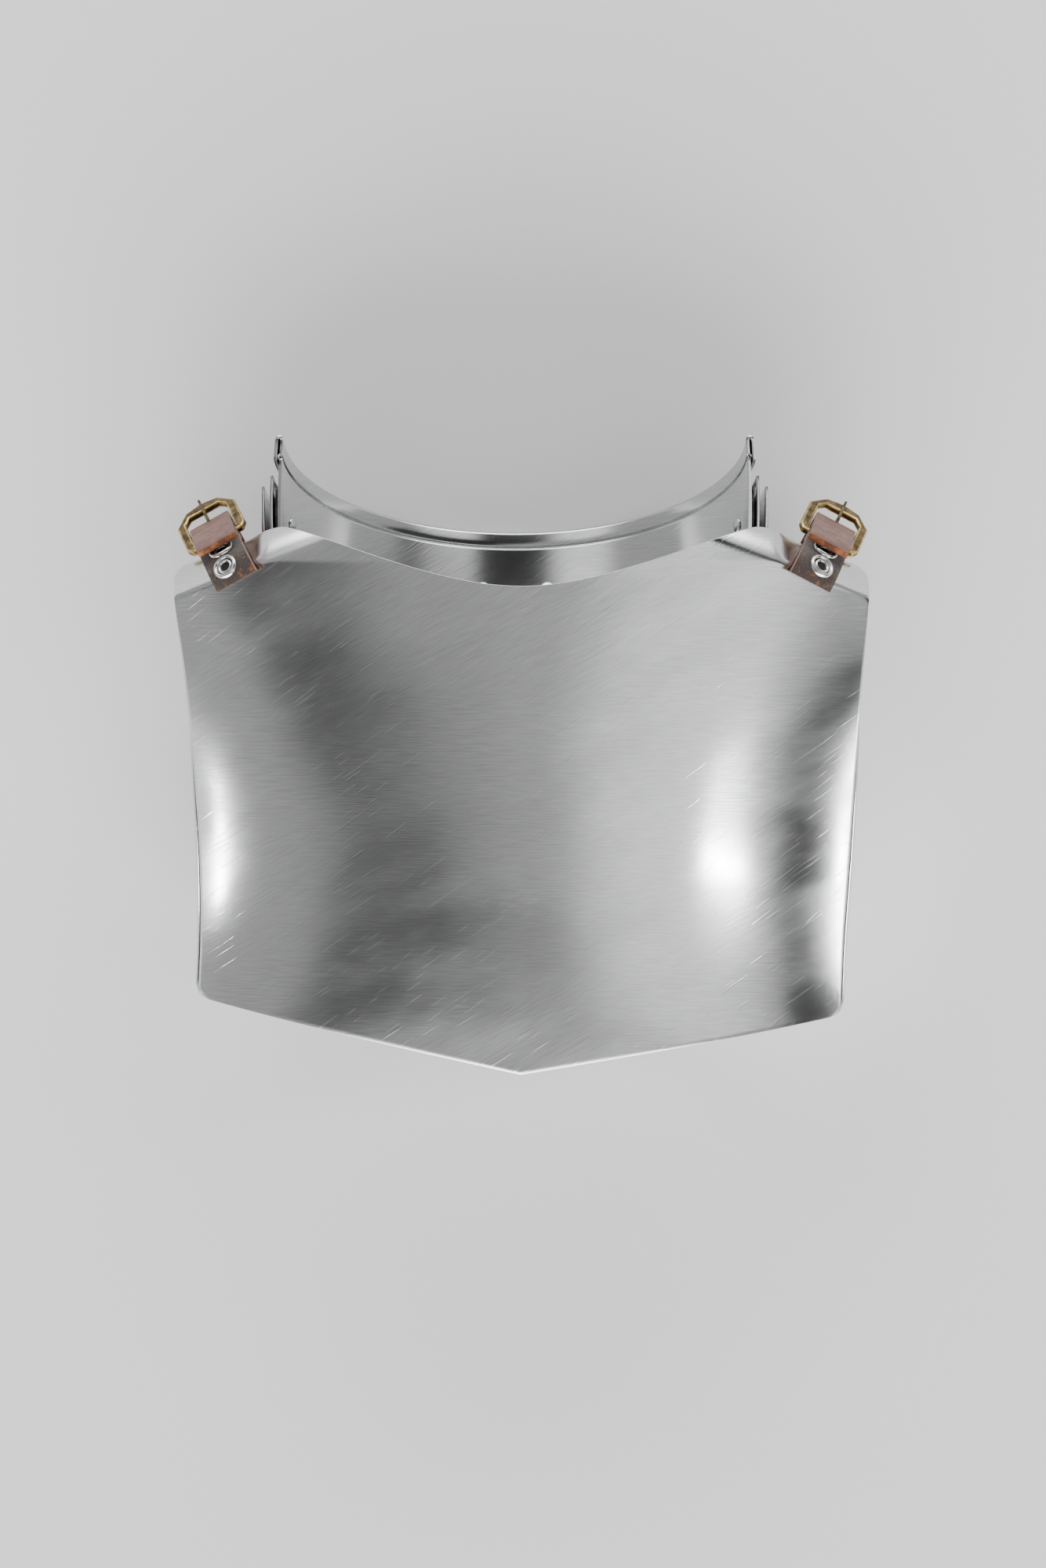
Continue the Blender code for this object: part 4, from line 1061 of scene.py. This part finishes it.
def curveMesh(curve, paths, closed):
    # paths of (point, radius) drawn by the curve, as a plain mesh
    for path in paths:
        spline = curve.splines.new("POLY")
        spline.points.add(len(path) - 1)
        spline.use_cyclic_u = closed
        for point, (spot, radius) in zip(spline.points, path):
            point.co = (*spot.to_3d(), 1.0)
            point.radius = radius
    drawn = bpy.data.objects.new(curve.name, curve)
    bpy.context.scene.collection.objects.link(drawn)
    mesh = frozen(drawn)
    bpy.data.objects.remove(drawn, do_unlink=True)
    mesh.materials.clear()
    return mesh


def mirrored(half):
    right = [Vector(point) for point in half]
    left = [Vector((x, -y)) for x, y in half[::-1] if abs(y) > 0.0]
    return right + left


buckleCorners = {
    "heel": 0.86,           # of the half width, at the bar
    "shoulder": 1.4,        # of half the bar, along
    "slant": 1.9,           # of the rail, back from the rim
    "nose": 0.56,           # of the half width, at the rim
    "openingSlant": 0.9,
    "openingNose": 0.7,
}


def makeBuckle(section, bar, heading):
    # a frame of x from the bar to the rim, y across and z out of its face
    inner = strapShape["width"] / 2.0 + 2.0 * stock["gap"]
    outer = inner + strapShape["buckleRail"]
    barHalf = strapShape["barSize"] / 2.0
    rail = strapShape["buckleRail"]
    reach = barHalf + strapShape["buckleOpening"]
    rim = reach + rail
    outside = mirrored((
        (-barHalf, outer * buckleCorners["heel"]),
        (barHalf * buckleCorners["shoulder"], outer),
        (rim - rail * buckleCorners["slant"], outer),
        (rim, outer * buckleCorners["nose"]),
        (rim + strapShape["bucklePoint"], 0.0),
    ))
    inside = mirrored((
        (barHalf, inner),
        (reach - rail * buckleCorners["openingSlant"], inner),
        (reach, inner * buckleCorners["openingNose"]),
    ))
    curve = bpy.data.curves.new("buckleOutline", "CURVE")
    curve.dimensions = "2D"
    curve.fill_mode = "BOTH"
    curve.extrude = strapShape["buckleThickness"] / 2.0
    mesh = curveMesh(curve, [[(point, 1.0) for point in loop] for loop in (outside, inside)], True)
    shape = bmesh.new()
    shape.from_mesh(mesh)
    bmesh.ops.remove_doubles(shape, verts=shape.verts, dist=0.00001)
    bmesh.ops.recalc_face_normals(shape, faces=shape.faces)
    out = turned(heading, strapShape["buckleLift"])
    xAxis = section.direction(out)
    zAxis = section.direction(turned(out, math.pi / 2.0))
    turn = Matrix((xAxis, zAxis.cross(xAxis), zAxis)).transposed().to_4x4()
    shape.transform(Matrix.Translation(section.world(bar)) @ turn)
    shape.to_mesh(mesh)
    shape.free()
    name = section.name + "BuckleFrame"
    buckle = addPiece(name, mesh, antiqueBrass, wornBrass)
    edge = buckle.modifiers.new("Chamfer", "BEVEL")
    edge.width = strapShape["buckleChamfer"]
    edge.segments = 3
    edge.material = 1
    edge.limit_method = "ANGLE"
    edge.angle_limit = math.radians(60.0)
    return buckle, reach


def makeProng(section, bar, heading, reach):
    out = turned(heading, strapShape["buckleLift"])
    up = turned(out, math.pi / 2.0)
    eye = strapShape["barSize"] * 0.5 * math.sqrt(2.0) + stock["gap"]
    thick = strapShape["prongThickness"]
    ring = eye + thick * strapShape["prongRound"]
    rest = strapShape["buckleThickness"] / 2.0 + stock["gap"] + thick * strapShape["prongRest"]
    tip = reach + strapShape["buckleRail"] + strapShape["bucklePoint"]
    path = arc(bar, turned(out * ring, strapShape["ringFrom"]), strapShape["ringSweep"], 20)[::-1]
    straight = len(path) + 1
    start = path[-1]
    end = bar + out * (tip + stock["gap"]) + up * rest
    path += [start.lerp(end, i / 10.0) for i in range(1, 11)]
    curve = bpy.data.curves.new("prongPath", "CURVE")
    curve.dimensions = "3D"
    curve.bevel_depth = thick * strapShape["prongRound"]
    curve.bevel_resolution = 4
    curve.use_fill_caps = True
    taper = [1.0 - strapShape["prongTaper"] * max(0, i - straight) / 8.0 for i in range(len(path))]
    mesh = curveMesh(curve, [[(section.world(spot), radius) for spot, radius in zip(path, taper)]], False)
    return addPiece(section.name + "Prong", mesh, antiqueBrass)


def rivetSeats(section, spots, plate, leather):
    bpy.context.view_layer.update()
    graph = bpy.context.evaluated_depsgraph_get()
    outer = surfaceOf(leather.evaluated_get(graph).data)
    seats = []
    for foot, way in spots:
        world = section.direction(way)
        hit, axis = surfaces[plate].ray_cast(section.world(foot) + world * rivetShape["seek"], -world)[:2]
        top = outer.ray_cast(hit + axis * rivetShape["seek"], -axis)[0]
        seats.append((top + axis * rivetShape["lift"], axis))
    return seats


def uprights(surface, places, step):
    # (point, direction out of the plate) at each place along the strap
    spots = []
    for place in places:
        along = (surface(place + step) - surface(place - step)).normalized()
        spots.append((surface(place), turned(along, math.pi / 2.0)))
    return spots


def makeShoulder(row):
    section = StrapSection(row)
    seats = chapeSeats(section, 40)
    bar, heading = barPlace(seats)
    chape = makeChape(section, seats, bar, heading)
    buckle, reach = makeBuckle(section, bar, heading)
    prong = makeProng(section, bar, heading, reach)
    strap = makeStrap(section, seats, bar, heading)
    apart = strapShape["chapeSpacing"] / 2.0
    spots = uprights(section.front, (-apart, apart), strapShape["feel"])
    chapeRivets = rivetSeats(section, spots, "front", chape)
    places = [section.meets - down for down in strapShape["rivetsAt"]]
    spots = uprights(section.back, places, -strapShape["feel"])
    strapRivets = rivetSeats(section, spots, "back", strap)
    side = section.name
    settle(chape, "brown_leather", f"{side}_chape")
    settle(strap, "brown_leather", f"{side}_strap")
    settle(buckle, "brass", f"{side}_buckle_frame")
    settle(prong, "brass", f"{side}_prong")
    placeRivets(side + "ChapeRivets", chapeRivets, "ringed", rivetShape["chapeHead"], wornNickel, "nickel",
                [f"{side}_chape_rivet_1", f"{side}_chape_rivet_2"])
    placeRivets(side + "StrapRivets", strapRivets, "ringed", rivetShape["strapHead"], wornNickel, "nickel",
                [f"{side}_strap_rivet_1", f"{side}_strap_rivet_2"])


for row in strapShape["sides"]:
    makeShoulder(row)
print("straps ready")


# floor, light and camera
studio = {
    "floorSize": 6.0,
    "floorDrop": 0.0004,
    "floorColour": (0.93, 0.93, 0.93),
    "cameraHeight": 1.66,
    "cameraX": 0.0009,
    "lens": 96.8,
    "sky": 0.5,
    "darkest": 0.02,
    "patchEdge": (0.5, 1.2),
    "boxSpread": math.radians(80.0),
    # soft lights and dark screens of the room: where, how wide along x, y and z, and how much they add
    "patches": (
        {"at": (0.0, -0.92, 0.38), "wide": (1.6, 0.27, 0.55), "adds": 8.5},
        {"at": (0.0, 0.95, 0.22), "wide": (1.4, 0.24, 0.34), "adds": 6.0},
        {"at": (0.54, -0.04, 0.80), "wide": (0.5, 0.5, 0.5), "adds": 1.1},
        {"at": (0.955, -0.22, 0.22), "wide": (0.12, 0.3, 0.16), "adds": -1.6},
        {"at": (-0.5, -0.29, 0.82), "wide": (0.6, 0.24, 0.5), "adds": -0.38},
        {"at": (0.55, 0.36, 0.75), "wide": (0.5, 0.32, 0.4), "adds": -1.3},
        {"at": (0.0, 0.75, 0.66), "wide": (0.26, 0.4, 0.4), "adds": -1.2},
        {"at": (0.45, 0.65, 0.55), "wide": (0.22, 0.3, 0.35), "adds": 1.0},
        {"at": (-0.45, 0.65, 0.55), "wide": (0.22, 0.3, 0.35), "adds": 1.0},
    ),
    # soft boxes close to the plate: metres, each facing a spot of the plate
    "boxes": (
        {"name": "leftStrip", "at": (-0.225, -0.0404, 0.058), "faces": (-0.1165, -0.033, 0.049),
         "size": (0.022, 0.005), "glow": 13.0},
        {"name": "rightStrip", "at": (0.225, -0.0455, 0.044), "faces": (0.126, -0.04, 0.043),
         "size": (0.08, 0.004), "glow": 13.0},
        {"name": "rightGlow", "at": (0.224, -0.060, 0.197), "faces": (0.0786, -0.032, 0.086),
         "size": (0.02, 0.05), "glow": 10.0},
    ),
}


def makeRoom():
    world = bpy.data.worlds.new("studioRoom")
    bpy.context.scene.world = world
    world.use_nodes = True
    tree = world.node_tree
    place = tree.nodes.new("ShaderNodeTexCoord").outputs["Generated"]
    total = studio["sky"]
    for patch in studio["patches"]:
        away = addNode(tree, "ShaderNodeVectorMath", {0: place, 1: patch["at"]}, operation="SUBTRACT")
        inputs = {0: away.outputs["Vector"], 1: patch["wide"]}
        spread = addNode(tree, "ShaderNodeVectorMath", inputs, operation="DIVIDE")
        length = addNode(tree, "ShaderNodeVectorMath", {0: spread.outputs["Vector"]}, operation="LENGTH")
        glow = ranged(tree, length.outputs["Value"], *studio["patchEdge"], patch["adds"], 0.0, "SMOOTHSTEP")
        total = addNode(tree, "ShaderNodeMath", {0: total, 1: glow}, operation="ADD").outputs["Value"]
    least = addNode(tree, "ShaderNodeMath", {0: total, 1: studio["darkest"]}, operation="MAXIMUM")
    background = {"Strength": least.outputs["Value"], "Color": (1.0, 1.0, 1.0, 1.0)}
    fillInputs(tree, tree.nodes["Background"], background)


def makeBoxes():
    for box in studio["boxes"]:
        along, across = box["size"]
        lamp = bpy.data.lights.new(box["name"], "AREA")
        lamp.shape = "RECTANGLE"
        lamp.size = along
        lamp.size_y = across
        lamp.spread = studio["boxSpread"]
        lamp.energy = box["glow"] * math.pi * along * across
        light = bpy.data.objects.new(box["name"], lamp)
        light.location = box["at"]
        towards = Vector(box["faces"]) - Vector(box["at"])
        light.rotation_mode = "QUATERNION"
        light.rotation_quaternion = towards.to_track_quat("-Z", "Y")
        bpy.context.scene.collection.objects.link(light)


def makeFloor():
    shape = bmesh.new()
    bmesh.ops.create_grid(shape, x_segments=1, y_segments=1, size=studio["floorSize"] / 2.0)
    mesh = meshFrom("floor", shape)
    look, tree, shader = newMaterial("paleFloor")
    fillInputs(tree, shader, {"Base Color": (*studio["floorColour"], 1.0), "Roughness": 0.9})
    floor = addPiece("floor", mesh, look)
    for corner in mesh.vertices:
        corner.co.z = -studio["floorDrop"]


def makeCamera():
    lens = bpy.data.cameras.new("camera")
    lens.lens = studio["lens"]
    lens.sensor_fit = "AUTO"
    lens.sensor_width = 36.0
    camera = bpy.data.objects.new("camera", lens)
    camera.location = (studio["cameraX"], 0.0, studio["cameraHeight"])
    bpy.context.scene.collection.objects.link(camera)
    bpy.context.scene.camera = camera


makeRoom()
makeBoxes()
makeFloor()
makeCamera()
print("studio ready")
